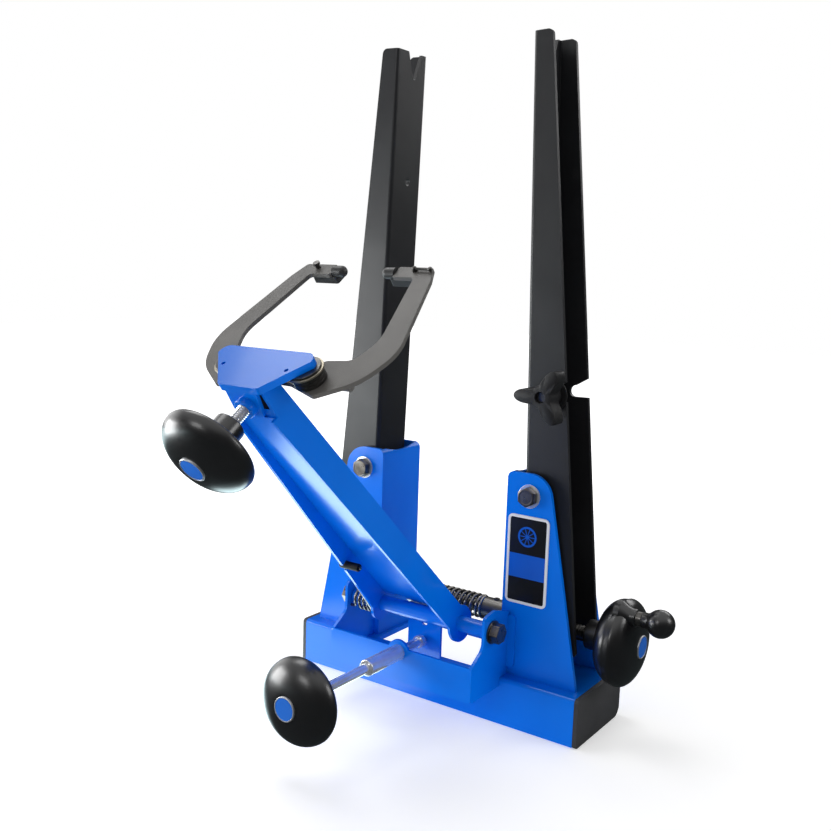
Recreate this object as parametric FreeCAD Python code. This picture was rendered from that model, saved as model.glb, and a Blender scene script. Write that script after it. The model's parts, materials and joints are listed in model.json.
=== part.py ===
import FreeCAD, Part
import math
import os

Vector = FreeCAD.Vector

# Bicycle wheel truing stand. Millimetres, +X right along the base, +Y back, +Z up.
# The origin is on the bench under the middle of the base. The stand is a mirror image about X = 0,
# apart from the crank, the badge and the star knob on the right.

# Sheet steel: the arm, head and bracket, then the uprights and towers, then the base
sheet = 2.3
stand_sheet = 3.0
base_sheet = 4.0
bend_outer = 3.0
bend_inner = 0.5

# Base: a folded top with a front wall and a short rear lip
base_half_length = 125.5
base_end_margin = 4.8
base_half_depth = 37.3
base_height = 36.8
front_wall_foot = 0.8
rear_lip_drop = 5.8
window_half_length = 54.0
window_front = -31.0
window_rear = 30.0
window_corner = 4.0

# End caps and their plugs inside the base
cap_thickness = 3.4
cap_low_corner = 8.0
cap_corner = 3.0
cap_plug_length = 15.0
cap_plug_clearance = 0.05
cap_plug_foot = 3.0

# Towers: two channels that stand on the base, flanges to the front and the rear
tower_web_inner = 57.25
tower_flange_outer = 25.7
tower_top = 191.0
tower_foot_outer = base_half_length - base_end_margin
tower_shoulder_outer = 90.6
tower_shoulder_radius = 18.0
tower_web_corner = 5.0
tower_web_dish = 3.0

# Tower bolts, on which the uprights lean in and out
bolt_x = 76.06
bolt_z = 174.3
bolt_radius = 4.0
bolt_hole_clearance = 0.05
bolt_washer_radius = 8.8
bolt_washer_thickness = 1.3
bolt_head_radius = 6.2
bolt_head_height = 4.2
bolt_socket_radius = 2.6
bolt_socket_depth = 2.4
tower_nut_radius = 7.4
tower_nut_height = 6.0
spacer_radius = 8.0

# Uprights: tapered channels, given in their own frame at the tower bolt (u outward, v up)
upright_tilt = 1.82
upright_web_inner = -7.95
upright_top = 325.8
upright_foot = -116.0
upright_half_depth = 19.18
upright_flange_top = 14.8
upright_flange_growth = 0.0668
upright_top_corner = 4.0
upright_foot_corner = 3.0

# Dropout notch in the top of each upright's web
notch_mouth_front = -5.0
notch_mouth_rear = 12.0
notch_depth = 20.0
notch_seat_y = 2.8
notch_seat_radius = 3.0
web_hole_v = 228.0
web_hole_y = 1.7
web_hole_radius = 3.0

# Notches in the outer edges of the flanges, which seat the stud of the star knob
seat_u = 13.4
seat_v = 74.0
seat_radius = 4.35
seat_mouth_rise = 6.6
seat_mouth_drop = 4.5
seat_mouth_reach = 12.0
stud_radius = 4.3
stud_head_radius = 8.0
stud_head_height = 4.0
stud_tip_reach = 3.0

# Star knob with three lobes
star_lobe_reach = 21.0
star_lobe_half_width = 5.6
star_lobe_rounding = 5.2
star_waist_reach = 8.8
star_waist_rounding = 7.0
star_thickness = 13.5
star_boss_radius = 7.5
star_boss_height = 6.5
star_centre_hole = 3.15
star_centre_depth = 3.0
star_edge = 1.2

# Spindle that moves the feet of both uprights
spindle_z = 73.0
spindle_radius = 5.0
spindle_left_end = -98.0
spindle_right_end = 121.0
running_clearance = 0.05
spring_half_length = 29.0
spring_outer_radius = 9.0
spring_wire = 2.8
spring_turns = 9
spring_bend_share = 1.35
spring_half_turns_per_turn = 2
collar_radius = 8.5
collar_end_gap = 0.2
set_screw_radius = 2.4
set_screw_x = 38.0
set_screw_proud = 0.7
set_screw_socket = 1.2

# Nuts on the spindle, with trunnion pins in slots of the upright flanges
nut_x = 84.0
nut_radius = 8.0
nut_flat_gap = 0.15
trunnion_radius = 3.0
trunnion_reach = 19.0
trunnion_slot_clearance = 0.15
trunnion_slot_half_travel = 2.2
web_slot_half_width = 6.5
web_slot_half_height = 8.5

# Crank knob on the right end of the spindle
crank_hub_start = 117.0
crank_hub_radius = 11.0
crank_hub_end = 128.0
crank_rim_start = 142.0
crank_rim_end = 147.0
crank_rim_radius = 32.0
crank_rim_bulge = 1.0
crank_face = 158.5
crank_boss_foot_radius = 9.0
crank_boss_radius = 6.4
crank_boss_end = 157.0
crank_pin_y = -9.0
crank_pin_z_offset = 23.5
crank_ball_centre = 174.0
crank_ball_radius = 10.0
crank_pin_radius = 3.2
crank_pin_collar_radius = 5.2
crank_pin_collar_end = 161.0
medallion_radius = 8.5
medallion_height = 0.6
medallion_sink = 0.9

# Pivot bracket: a U of sheet in front of the base that carries the arm
bracket_front = -77.4
bracket_half_width = 64.15
bracket_foot = 30.1
bracket_front_top = 55.9
bracket_bump_radius = 9.5
bracket_return_width = 6.0
bracket_return_low = 43.0
bracket_return_high = 83.0
ear_waist_y = -61.5
ear_waist_z = 66.5
ear_shoulder_z = 89.0
ear_peak_y = -46.5
ear_peak_z = 91.2
ear_back_z = 85.0
ear_front_corner = 4.0
ear_waist_corner = 8.0
ear_top_corner = 9.0

# Arm pivot, along X
pivot_y = -50.5
pivot_z = 76.0
pivot_bolt_radius = 4.0
pivot_head_radius = 8.6
pivot_head_height = 6.4
pivot_washer_height = 1.6
pivot_nut_height = 6.5
pivot_nut_radius = 7.6
pivot_tube_radius = 6.0
pivot_tube_end_gap = 0.35

# Support arm: a tapered channel, open to the front, in its own frame at the pivot
# (s along the arm, t square to it on the side of the wheel)
arm_lean = 44.8
arm_side_gap = 26.95
arm_half_width = bracket_half_width - arm_side_gap
arm_web_outer = 10.0
arm_flange_edge = -9.9
arm_lip_gap = 0.3
arm_lobe_radius = 13.7
arm_overlength = 285.0
arm_far_half_width = 13.9155
arm_taper = (arm_half_width - arm_far_half_width) / arm_overlength
arm_web_start = 6.0
arm_web_foot_outer = 9.3
arm_web_slope = 0.056
tongue_half_width = 15.0
tongue_front = -43.5
tongue_foot = 40.0
tongue_hole_radius = 2.6
tongue_hole_z = 66.0

# Arm spring on the left of the pivot tube, with a sleeved leg over the arm's flange
arm_spring_wire = 2.2
arm_spring_radius = 8.7
arm_spring_pitch = 4.0
arm_spring_turns = 4
arm_spring_end_share = 2.4
arm_spring_bend_share = 1.4
arm_spring_ear_gap = 0.35
arm_spring_leg_s = 69.0
arm_spring_leg_t = -7.0
arm_spring_leg_gap = 0.5
arm_spring_leg_bend = 4.0
arm_spring_leg_reach = 15.8
spring_notch_width = 7.0
spring_notch_depth = 5.2
sleeve_radius = 2.9
sleeve_length = 13.0

# Radial screw under the arm: it pushes the tongue
radial_z = 52.5
radial_shaft_radius = 3.5
radial_nose_radius = 4.8
radial_nose_length = 8.0
radial_touch_gap = 0.05
radial_bush_radius = 6.0
radial_bush_flange_radius = 8.2
radial_bush_flange = 2.0
radial_bush_end = -116.0
radial_hub_start = -164.0
knob_rim_radius = 30.0
knob_hub_radius = 9.5
knob_hub_length = 9.0
knob_rim_offset = 18.0
knob_rim_width = 4.0
knob_rim_bulge = 0.9
knob_dome = 15.0
knob_socket_depth = 9.0
knob_neck_radius = 4.0

# Head frame: the origin lies between the caliper tips, w points to the wheel, h square to the arms
head_y = -128.5
head_z = 332.717
head_lean = 36.75
head_top = 15.0
head_front_w = -133.5
head_front_half_width = 15.5
head_front_rounding = 2.5
head_side_drop = 5.0
head_lip_foot = -9.0
head_lip_foot_half_width = 8.5
head_hole_u = 25.3
head_hole_w = -116.0
head_hole_radius = 1.4

# Caliper pivots in the head
caliper_pivot_u = 30.0
caliper_pivot_w = -107.0
caliper_pivot_radius = 3.0
caliper_nut_height = 4.0
caliper_nut_radius = 6.2
caliper_spacer_radius = 10.2
caliper_spacer_washer_radius = 11.4
caliper_spacer_washer_low = 7.4
caliper_spacer_washer_high = 8.6
caliper_spacer_gap = 0.05
head_lobe_radius = 7.3
head_lobe_rounding = 6.5
head_side_rounding = 2.2

# Caliper arms: flat steel, seen from above the head (u, w) and the rounding of each corner
caliper_thickness = 3.0
caliper_outline = [
    (1.5, -111.0, 1.0),
    (16.0, -111.4, 6.0),
    (39.0, -119.2, 3.5),
    (63.2, -103.6, 36.0),
    (74.4, -77.5, 36.0),
    (57.8, -8.5, 4.0),
    (52.5, 5.0, 3.0),
    (26.0, 5.0, 1.5),
    (26.0, -6.0, 1.5),
    (43.2, -6.0, 3.0),
    (55.2, -68.0, 28.0),
    (47.8, -86.8, 9.0),
    (30.0, -89.0, 8.0),
    (1.5, -104.5, 2.0),
]
caliper_stop_u = 46.0
caliper_stop_w = -103.0
caliper_stop_length = 9.0
caliper_stop_radius = 3.0
caliper_stop_seat_share = 0.8
tip_inner_u = 22.5
tip_outer_u = 43.5
tip_front_w = -5.0
tip_rear_w = 4.0
tip_rounding = 1.5
tip_thickness = 5.5
tip_nose_u = 15.5
tip_nose_radius = 3.9
tip_nose_root_u = 25.9
tip_nose_h = -1.5
tip_screw_u = 40.5
tip_screw_w = 1.0
tip_screw_radius = 1.7
tip_screw_head_radius = 2.4
tip_screw_height = 4.4
tip_screw_head = 1.8
pointer_radius = 0.9
pointer_ball_radius = 1.6
pointer_end_u = 52.5

# Caliper screw, along the head frame's w
caliper_screw_h = 0.0
caliper_screw_radius = 4.0
caliper_bush_radius = 6.8
caliper_bush_front = 4.0
caliper_bush_length = 11.0
caliper_nose_w = -111.4
caliper_web_clearance = 0.4
caliper_hub_w = -150.0

# Badge on the front flange of the right tower
badge_left = 59.6
badge_right = 93.5
badge_low = 92.7
badge_high = 159.7
badge_thickness = 0.8
badge_corner = 3.0

circle = 360.0
half = 0.5
knob_steps = 10
slot_round_share = 0.98


# Geometry helpers

def flat_place(origin, across, up):
    """A function that puts (a, b) on the plane through origin spanned by across and up."""
    return lambda a, b: origin + across * a + up * b


def rounded_wire(corners, place):
    """Closed wire through (a, b, radius) corners, each radius as a tangent arc."""
    points = [place(a, b) for a, b, _ in corners]
    count = len(corners)
    starts = []
    ends = []
    middles = []
    for i, corner in enumerate(corners):
        before = (points[i - 1] - points[i]).normalize()
        after = (points[(i + 1) % count] - points[i]).normalize()
        half_angle = before.getAngle(after) * half
        radius = corner[2]
        setback = radius / math.tan(half_angle)
        bisector = (before + after).normalize()
        centre_reach = radius / math.sin(half_angle)
        starts.append(points[i] + before * setback)
        ends.append(points[i] + after * setback)
        middles.append(points[i] + bisector * (centre_reach - radius))
    edges = []
    for i in range(count):
        if corners[i][2] > 0:
            edges.append(Part.Arc(starts[i], middles[i], ends[i]).toShape())
        following = starts[(i + 1) % count]
        if (following - ends[i]).Length > running_clearance * half:
            edges.append(Part.LineSegment(ends[i], following).toShape())
    return Part.Wire(edges)


def plate(corners, place, push):
    """Plate with rounded corners, from its outline along the vector push."""
    return Part.Face(rounded_wire(corners, place)).extrude(push)


def rod(start, finish, radius):
    """Round bar from start to finish."""
    along = finish - start
    return Part.makeCylinder(radius, along.Length, start, along)


def ring(start, finish, radius, bore):
    """Round bar with a hole along it."""
    return rod(start, finish, radius).cut(rod(start, finish, bore))


def turned(profile, start, axis):
    """Solid of revolution. Profile points are (along, radius), the first and last on the axis."""
    side = axis.cross(Vector(1, 0, 0))
    if side.Length < half:
        side = axis.cross(Vector(0, 0, 1))
    side.normalize()
    points = [start + axis * along + side * radius for along, radius in profile]
    face = Part.Face(Part.makePolygon(points + [points[0]]))
    return face.revolve(start, axis, circle)


def domed(along, radius, depth, steps):
    """Points of a quarter ellipse from the rim towards the axis."""
    points = []
    for i in range(steps + 1):
        angle = math.pi * half * i / steps
        points.append((along + depth * math.sin(angle), radius * math.cos(angle)))
    return points


def lens_back(start, low, finish, high):
    """Bulging back of a knob as (along, radius) points, from the hub's radius to the rim's."""
    points = []
    for i in range(knob_steps + 1):
        angle = math.pi * half * i / knob_steps
        along = start + (finish - start) * (1 - math.cos(angle))
        points.append((along, low + (high - low) * math.sin(angle)))
    return points


def hexagon(centre, axis, radius, height):
    """Hexagonal prism about an axis, with the given radius over its corners."""
    side = axis.cross(Vector(1, 0, 0))
    if side.Length < half:
        side = axis.cross(Vector(0, 0, 1))
    side.normalize()
    other = axis.cross(side)
    corners = []
    for i in range(6):
        angle = math.pi * i / 3
        corners.append(centre + side * (radius * math.cos(angle)) + other * (radius * math.sin(angle)))
    return Part.Face(Part.makePolygon(corners + [corners[0]])).extrude(axis * height)


def mirrored(shape):
    """The same shape on the other side of X = 0."""
    return shape.mirror(Vector(0, 0, 0), Vector(1, 0, 0))


def both_sides(name, shape):
    """The shape on the right and its mirror image on the left."""
    nodes[name + "_right"] = shape
    nodes[name + "_left"] = mirrored(shape)


def wire_tube(points, tangents, radius):
    """One tube along tangent arc pairs through the points, each pair turning under a half turn."""
    edges = []
    for i in range(len(points) - 1):
        edges.extend(arc_pair(points[i], tangents[i], points[i + 1], tangents[i + 1]))
    spine = Part.Wire(edges)
    section = Part.Wire([Part.makeCircle(radius, points[0], tangents[0])])
    return spine.makePipeShell([section], True, False)


def arc_pair(first, first_way, last, last_way):
    """Two arcs that leave first along first_way, meet smoothly and reach last along last_way."""
    span = last - first
    ways = first_way + last_way
    spread = 2 * (1 - first_way.dot(last_way))
    reach = span.dot(ways)
    if spread < 1e-9:
        return [Part.LineSegment(first, last).toShape()]
    length = (-reach + math.sqrt(reach * reach + spread * span.dot(span))) / spread
    joint = (first + first_way * length + last - last_way * length) * half
    return [arc_along(first, first_way, joint), arc_along(last, last_way * -1, joint)]


def arc_along(start, way, finish):
    """Arc that leaves start along way and ends at finish."""
    chord = finish - start
    turn = way.getAngle(chord)
    if turn < 1e-6:
        return Part.LineSegment(start, finish).toShape()
    bow = (way - chord * (way.dot(chord) / chord.dot(chord))).normalize()
    height = chord.Length * half * math.tan(turn * half)
    return Part.Arc(start, start + chord * half + bow * height, finish).toShape()


# Frames of the uprights, the arm and the head

across_x = Vector(1, 0, 0)
back_y = Vector(0, 1, 0)
up_z = Vector(0, 0, 1)

tilt = math.radians(upright_tilt)
upright_u = Vector(math.cos(tilt), 0, math.sin(tilt))
upright_v = Vector(-math.sin(tilt), 0, math.cos(tilt))
bolt_centre = Vector(bolt_x, 0, bolt_z)

lean = math.radians(arm_lean)
arm_s = Vector(0, -math.sin(lean), math.cos(lean))
arm_t = Vector(0, math.cos(lean), math.sin(lean))
pivot = Vector(0, pivot_y, pivot_z)

head_angle = math.radians(head_lean)
head_origin = Vector(0, head_y, head_z)
head_w = Vector(0, math.cos(head_angle), math.sin(head_angle))
head_h = Vector(0, -math.sin(head_angle), math.cos(head_angle))


def at_head(u, w, h):
    """Point given in the head's frame."""
    return head_origin + across_x * u + head_w * w + head_h * h


def at_arm(x, s, t):
    """Point given in the arm's frame."""
    return pivot + across_x * x + arm_s * s + arm_t * t


def at_upright(u, y, v):
    """Point given in the right upright's frame."""
    return bolt_centre + upright_u * u + back_y * y + upright_v * v


nodes = {}


# Base

def folded_base():
    """Top skin, front wall and rear lip in one folded sheet, with the window in the top."""
    inner_depth = base_half_depth - base_sheet
    inner_height = base_height - base_sheet
    rear_foot = base_height - rear_lip_drop
    section = [
        (-base_half_depth, front_wall_foot, 0),
        (-base_half_depth, base_height, bend_outer),
        (base_half_depth, base_height, bend_outer),
        (base_half_depth, rear_foot, 0),
        (inner_depth, rear_foot, 0),
        (inner_depth, inner_height, bend_inner),
        (-inner_depth, inner_height, bend_inner),
        (-inner_depth, front_wall_foot, 0),
    ]
    start = Vector(-base_half_length, 0, 0)
    skin = plate(section, flat_place(start, back_y, up_z), across_x * (2 * base_half_length))
    window = [
        (-window_half_length, window_front, window_corner),
        (window_half_length, window_front, window_corner),
        (window_half_length, window_rear, window_corner),
        (-window_half_length, window_rear, window_corner),
    ]
    below = Vector(0, 0, inner_height - base_sheet)
    cutter = plate(window, flat_place(below, across_x, back_y), up_z * (3 * base_sheet))
    return skin.cut(cutter)


def end_cap():
    """Right end cap: a full-height plate with a plug that fills the end of the base."""
    outline = [
        (-base_half_depth, 0, cap_corner),
        (base_half_depth, 0, cap_low_corner),
        (base_half_depth, base_height, cap_corner),
        (-base_half_depth, base_height, cap_corner),
    ]
    face_place = flat_place(Vector(base_half_length, 0, 0), back_y, up_z)
    cap = plate(outline, face_place, across_x * cap_thickness)
    inner_depth = base_half_depth - base_sheet - cap_plug_clearance
    plug_top = base_height - base_sheet - cap_plug_clearance
    plug = [
        (-inner_depth, cap_plug_foot, cap_corner),
        (inner_depth, cap_plug_foot, cap_corner),
        (inner_depth, plug_top, bend_inner),
        (-inner_depth, plug_top, bend_inner),
    ]
    return cap.fuse(plate(plug, face_place, across_x * -cap_plug_length)).removeSplitter()


# Towers

def tower():
    """Right tower: web towards the wheel, flanges to the front and the rear, open outward."""
    flange = [
        (tower_web_inner, base_height, 0),
        (tower_foot_outer, base_height, 0),
        (tower_shoulder_outer, tower_top, tower_shoulder_radius),
        (tower_web_inner, tower_top, tower_web_corner),
    ]
    front = Vector(0, -tower_flange_outer, 0)
    block = plate(flange, flat_place(front, across_x, up_z), back_y * (2 * tower_flange_outer))
    hollow_start = tower_web_inner + stand_sheet
    hollow_depth = tower_flange_outer - stand_sheet
    hollow = Part.makeBox(
        tower_foot_outer, 2 * hollow_depth, tower_top, Vector(hollow_start, -hollow_depth, base_height)
    )
    block = block.cut(hollow)
    dish_half = hollow_depth - tower_web_dish
    dish_radius = (dish_half * dish_half + tower_web_dish * tower_web_dish) * half / tower_web_dish
    dish_centre = tower_top - tower_web_dish + dish_radius
    dish_start = tower_web_inner - stand_sheet
    dish = along_x(0, dish_centre, dish_start, hollow_start, dish_radius)
    block = block.cut(dish)
    bolt_hole = bolt_radius + bolt_hole_clearance
    reach = tower_flange_outer + stand_sheet
    block = block.cut(along_y(bolt_x, bolt_z, -reach, reach, bolt_hole))
    spindle_hole = spindle_radius + running_clearance
    return block.cut(along_x(0, spindle_z, dish_start, hollow_start + stand_sheet, spindle_hole))


def along_y(x, z, start, finish, radius):
    """Round bar along Y."""
    return rod(Vector(x, start, z), Vector(x, finish, z), radius)


def along_x(y, z, start, finish, radius):
    """Round bar along X."""
    return rod(Vector(start, y, z), Vector(finish, y, z), radius)


def tower_bolt_parts():
    """Bolt, washer, nut and the two spacers between the tower and the upright, on the right."""
    washer_front = -tower_flange_outer - bolt_washer_thickness
    head_front = washer_front - bolt_head_height
    shank = along_y(bolt_x, bolt_z, washer_front, tower_flange_outer + tower_nut_height, bolt_radius)
    head_profile = [(0, 0)] + domed(0, bolt_head_radius, bolt_head_height, knob_steps)
    head = turned(head_profile, Vector(bolt_x, washer_front, bolt_z), back_y * -1)
    socket = hexagon(Vector(bolt_x, head_front, bolt_z), back_y, bolt_socket_radius, bolt_socket_depth)
    both_sides("tower_bolt", shank.fuse(head).removeSplitter().cut(socket))
    washer = ring(
        Vector(bolt_x, washer_front, bolt_z),
        Vector(bolt_x, -tower_flange_outer, bolt_z),
        bolt_washer_radius,
        bolt_radius,
    )
    both_sides("tower_washer", washer)
    nut = hexagon(Vector(bolt_x, tower_flange_outer, bolt_z), back_y, tower_nut_radius, tower_nut_height)
    both_sides("tower_nut", nut.cut(shank))
    gap_outer = tower_flange_outer - stand_sheet
    for name, outward in (("tower_spacer_front", -1), ("tower_spacer_rear", 1)):
        spacer = ring(
            Vector(bolt_x, outward * gap_outer, bolt_z),
            Vector(bolt_x, outward * (upright_half_depth + running_clearance), bolt_z),
            spacer_radius,
            bolt_radius,
        )
        both_sides(name, spacer)


def badge():
    """Thin blank plate on the front flange of the right tower."""
    outline = [
        (badge_left, badge_low, badge_corner),
        (badge_right, badge_low, badge_corner),
        (badge_right, badge_high, badge_corner),
        (badge_left, badge_high, badge_corner),
    ]
    front = Vector(0, -tower_flange_outer, 0)
    return plate(outline, flat_place(front, across_x, up_z), back_y * -badge_thickness)


# Uprights

def upright():
    """Right upright: a channel open outward whose flanges widen towards the foot."""
    top_edge = upright_web_inner + upright_flange_top
    foot_edge = top_edge + upright_flange_growth * (upright_top - upright_foot)
    flange = [
        (upright_web_inner, upright_foot, bend_outer),
        (foot_edge, upright_foot, upright_foot_corner),
        (top_edge, upright_top, upright_top_corner),
        (upright_web_inner, upright_top, bend_inner),
    ]
    start = at_upright(0, -upright_half_depth, 0)
    block = plate(flange, flat_place(start, upright_u, upright_v), back_y * (2 * upright_half_depth))
    hollow_half = upright_half_depth - stand_sheet
    hollow_inner = upright_web_inner + stand_sheet
    hollow = [
        (-hollow_half, hollow_inner, bend_inner),
        (hollow_half, hollow_inner, bend_inner),
        (hollow_half, 2 * foot_edge, 0),
        (-hollow_half, 2 * foot_edge, 0),
    ]
    below = at_upright(0, 0, 2 * upright_foot)
    block = block.cut(plate(hollow, flat_place(below, back_y, upright_u), upright_v * (3 * upright_top)))
    outer = [
        (-upright_half_depth, upright_web_inner, bend_outer),
        (upright_half_depth, upright_web_inner, bend_outer),
        (upright_half_depth, 2 * foot_edge, 0),
        (-upright_half_depth, 2 * foot_edge, 0),
    ]
    block = block.common(plate(outer, flat_place(below, back_y, upright_u), upright_v * (3 * upright_top)))
    for cutter in (dropout_notch(), stud_seats(), foot_openings(), upright_holes()):
        block = block.cut(cutter)
    return block


def through_web(corners, low_u, high_u):
    """Cutter square to the web, from an outline in (y, v)."""
    place = flat_place(at_upright(low_u, 0, 0), back_y, upright_v)
    return plate(corners, place, upright_u * (high_u - low_u))


def dropout_notch():
    """V with a rounded seat, open at the top, in which the wheel's axle rests."""
    bottom = upright_top - notch_depth
    above = upright_top + notch_seat_radius
    corners = [
        (notch_mouth_front - half * notch_seat_radius, above, 0),
        (notch_seat_y - half * notch_seat_radius, bottom, half * notch_seat_radius),
        (notch_seat_y + half * notch_seat_radius, bottom, half * notch_seat_radius),
        (notch_mouth_rear + half * notch_seat_radius, above, 0),
    ]
    return through_web(corners, upright_web_inner - stand_sheet, upright_web_inner + 2 * stand_sheet)


def stud_seats():
    """Notches in the outer edges of both flanges, with an open mouth that slopes up outward."""
    mouth = [
        (seat_u, seat_v - seat_radius, 0),
        (seat_u + seat_mouth_reach, seat_v - seat_mouth_drop, 0),
        (seat_u + seat_mouth_reach, seat_v + seat_mouth_rise + seat_radius, 0),
        (seat_u, seat_v + seat_radius, 0),
    ]
    start = at_upright(0, -upright_half_depth - stand_sheet, 0)
    depth = 2 * (upright_half_depth + stand_sheet)
    slot = plate(mouth, flat_place(start, upright_u, upright_v), back_y * depth)
    seat_start = at_upright(seat_u, -upright_half_depth - stand_sheet, seat_v)
    return slot.fuse(rod(seat_start, seat_start + back_y * depth, seat_radius))


def pin_place():
    """The trunnion pin's centre in the right upright's frame, as (u, v)."""
    offset = Vector(nut_x, 0, spindle_z) - bolt_centre
    return offset.dot(upright_u), offset.dot(upright_v)


def foot_openings():
    """Slots for the trunnion pins in the flanges and for the spindle in the web."""
    pin_u, pin_v = pin_place()
    slot_radius = trunnion_radius + trunnion_slot_clearance
    slot_half = slot_radius + trunnion_slot_half_travel
    slot = [
        (pin_u - slot_radius, pin_v - slot_half, slot_radius * slot_round_share),
        (pin_u + slot_radius, pin_v - slot_half, slot_radius * slot_round_share),
        (pin_u + slot_radius, pin_v + slot_half, slot_radius * slot_round_share),
        (pin_u - slot_radius, pin_v + slot_half, slot_radius * slot_round_share),
    ]
    start = at_upright(0, -upright_half_depth - stand_sheet, 0)
    depth = 2 * (upright_half_depth + stand_sheet)
    pins = plate(slot, flat_place(start, upright_u, upright_v), back_y * depth)
    web = [
        (-web_slot_half_width, pin_v - web_slot_half_height, web_slot_half_width * slot_round_share),
        (web_slot_half_width, pin_v - web_slot_half_height, web_slot_half_width * slot_round_share),
        (web_slot_half_width, pin_v + web_slot_half_height, web_slot_half_width * slot_round_share),
        (-web_slot_half_width, pin_v + web_slot_half_height, web_slot_half_width * slot_round_share),
    ]
    return pins.fuse(through_web(web, upright_web_inner - stand_sheet, upright_web_inner + 2 * stand_sheet))


def upright_holes():
    """The bolt holes in the flanges and the small hole high in the web."""
    radius = bolt_radius + bolt_hole_clearance
    bolt_hole = along_y(bolt_x, bolt_z, -tower_flange_outer, tower_flange_outer, radius)
    start = at_upright(upright_web_inner - stand_sheet, web_hole_y, web_hole_v)
    return bolt_hole.fuse(rod(start, start + upright_u * (3 * stand_sheet), web_hole_radius))


# Star knob on the front of the right upright

def star_parts():
    """Knob, stud and nut that sit in the notches of the right upright."""
    centre = at_upright(seat_u, 0, seat_v)
    front_flange = -upright_half_depth
    boss_front = front_flange - star_boss_height
    knob_front = boss_front - star_thickness
    boss = along_y(centre.x, centre.z, boss_front, front_flange - running_clearance, star_boss_radius)
    corners = []
    for i in range(3):
        angle = math.pi * (1 + 2 * i / 3)
        for side in (-1, 1):
            a = star_lobe_reach * math.cos(angle) - side * star_lobe_half_width * math.sin(angle)
            b = star_lobe_reach * math.sin(angle) + side * star_lobe_half_width * math.cos(angle)
            corners.append((a, b, star_lobe_rounding))
        between = angle + math.pi / 3
        a = star_waist_reach * math.cos(between)
        b = star_waist_reach * math.sin(between)
        corners.append((a, b, star_waist_rounding))
    knob_place = flat_place(Vector(centre.x, boss_front, centre.z), across_x, up_z)
    knob = plate(corners, knob_place, back_y * -star_thickness)
    outer_edges = [edge for edge in knob.Edges if abs(edge.CenterOfMass.y - knob_front) < star_edge * half]
    knob = knob.makeFillet(star_edge, outer_edges)
    knob = knob.fuse(boss).removeSplitter()
    stud_end = front_flange + stand_sheet + stud_head_height + stud_tip_reach
    stud_start = knob_front + star_centre_depth
    stud = along_y(centre.x, centre.z, stud_start, stud_end, stud_radius)
    knob = knob.cut(stud)
    knob = knob.cut(along_y(centre.x, centre.z, knob_front, stud_start, star_centre_hole))
    nodes["star_knob"] = knob
    nodes["star_stud"] = stud
    nut_seat = front_flange + stand_sheet + running_clearance
    nut = hexagon(Vector(centre.x, nut_seat, centre.z), back_y, stud_head_radius, stud_head_height)
    nodes["star_nut"] = nut.cut(stud)


# Spindle with its spring, collars, crank and nuts

def spindle_spring():
    """Close-wound spring between the collars, each end bent square to the collar."""
    mean = spring_outer_radius - half * spring_wire
    bend = spring_wire * spring_bend_share
    coil_half = spring_half_length - spring_wire - bend
    count = spring_turns * spring_half_turns_per_turn
    rise = 2 * coil_half / (math.pi * 2 * spring_turns * mean)
    points = [Vector(-spring_half_length, 0, spindle_z + mean)]
    ways = [across_x]
    points.append(Vector(-spring_half_length + spring_wire, 0, spindle_z + mean))
    ways.append(across_x)
    begin = bend / mean
    for i in range(count + 1):
        share = i / count
        angle = begin + (2 * math.pi * spring_turns - 2 * begin) * share
        x = -coil_half + 2 * coil_half * share
        points.append(Vector(x, mean * math.sin(angle), spindle_z + mean * math.cos(angle)))
        ways.append(Vector(rise, math.cos(angle), -math.sin(angle)).normalize())
    points.append(Vector(spring_half_length - spring_wire, 0, spindle_z + mean))
    ways.append(across_x)
    points.append(Vector(spring_half_length, 0, spindle_z + mean))
    ways.append(across_x)
    pitch = 2 * coil_half / spring_turns
    print("spindle spring: pitch", round(pitch, 3), "gap to itself", round(pitch - spring_wire, 3))
    return wire_tube(points, ways, half * spring_wire)


def spindle_parts():
    """Spindle, spring, collars, set screws and the two nuts."""
    nodes["spindle_rod"] = along_x(0, spindle_z, spindle_left_end, spindle_right_end, spindle_radius)
    nodes["spindle_spring"] = spindle_spring()
    collar_end = tower_web_inner - collar_end_gap
    collar_start = Vector(spring_half_length, 0, spindle_z)
    collar = ring(collar_start, Vector(collar_end, 0, spindle_z), collar_radius, spindle_radius)
    screw_top = spindle_z + collar_radius + set_screw_proud
    screw_foot = Vector(set_screw_x, 0, spindle_z + half * spindle_radius)
    screw = rod(screw_foot, Vector(set_screw_x, 0, screw_top), set_screw_radius)
    both_sides("spindle_collar", collar.cut(screw))
    socket_foot = Vector(set_screw_x, 0, screw_top - set_screw_socket)
    socket = hexagon(socket_foot, up_z, half * set_screw_radius, 2 * set_screw_socket)
    both_sides("collar_screw", screw.cut(rod_bore()).cut(socket))
    nut_reach = upright_half_depth - stand_sheet - nut_flat_gap
    nut = along_y(nut_x, spindle_z, -nut_reach, nut_reach, nut_radius)
    pins = along_y(nut_x, spindle_z, -trunnion_reach, trunnion_reach, trunnion_radius)
    bore_reach = 2 * nut_radius
    bore_radius = spindle_radius + running_clearance
    bore = along_x(0, spindle_z, nut_x - bore_reach, nut_x + bore_reach, bore_radius)
    both_sides("spindle_nut", nut.fuse(pins).removeSplitter().cut(bore))


def rod_bore():
    """The space that the spindle takes."""
    return along_x(0, spindle_z, spindle_left_end, spindle_right_end, spindle_radius)


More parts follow.
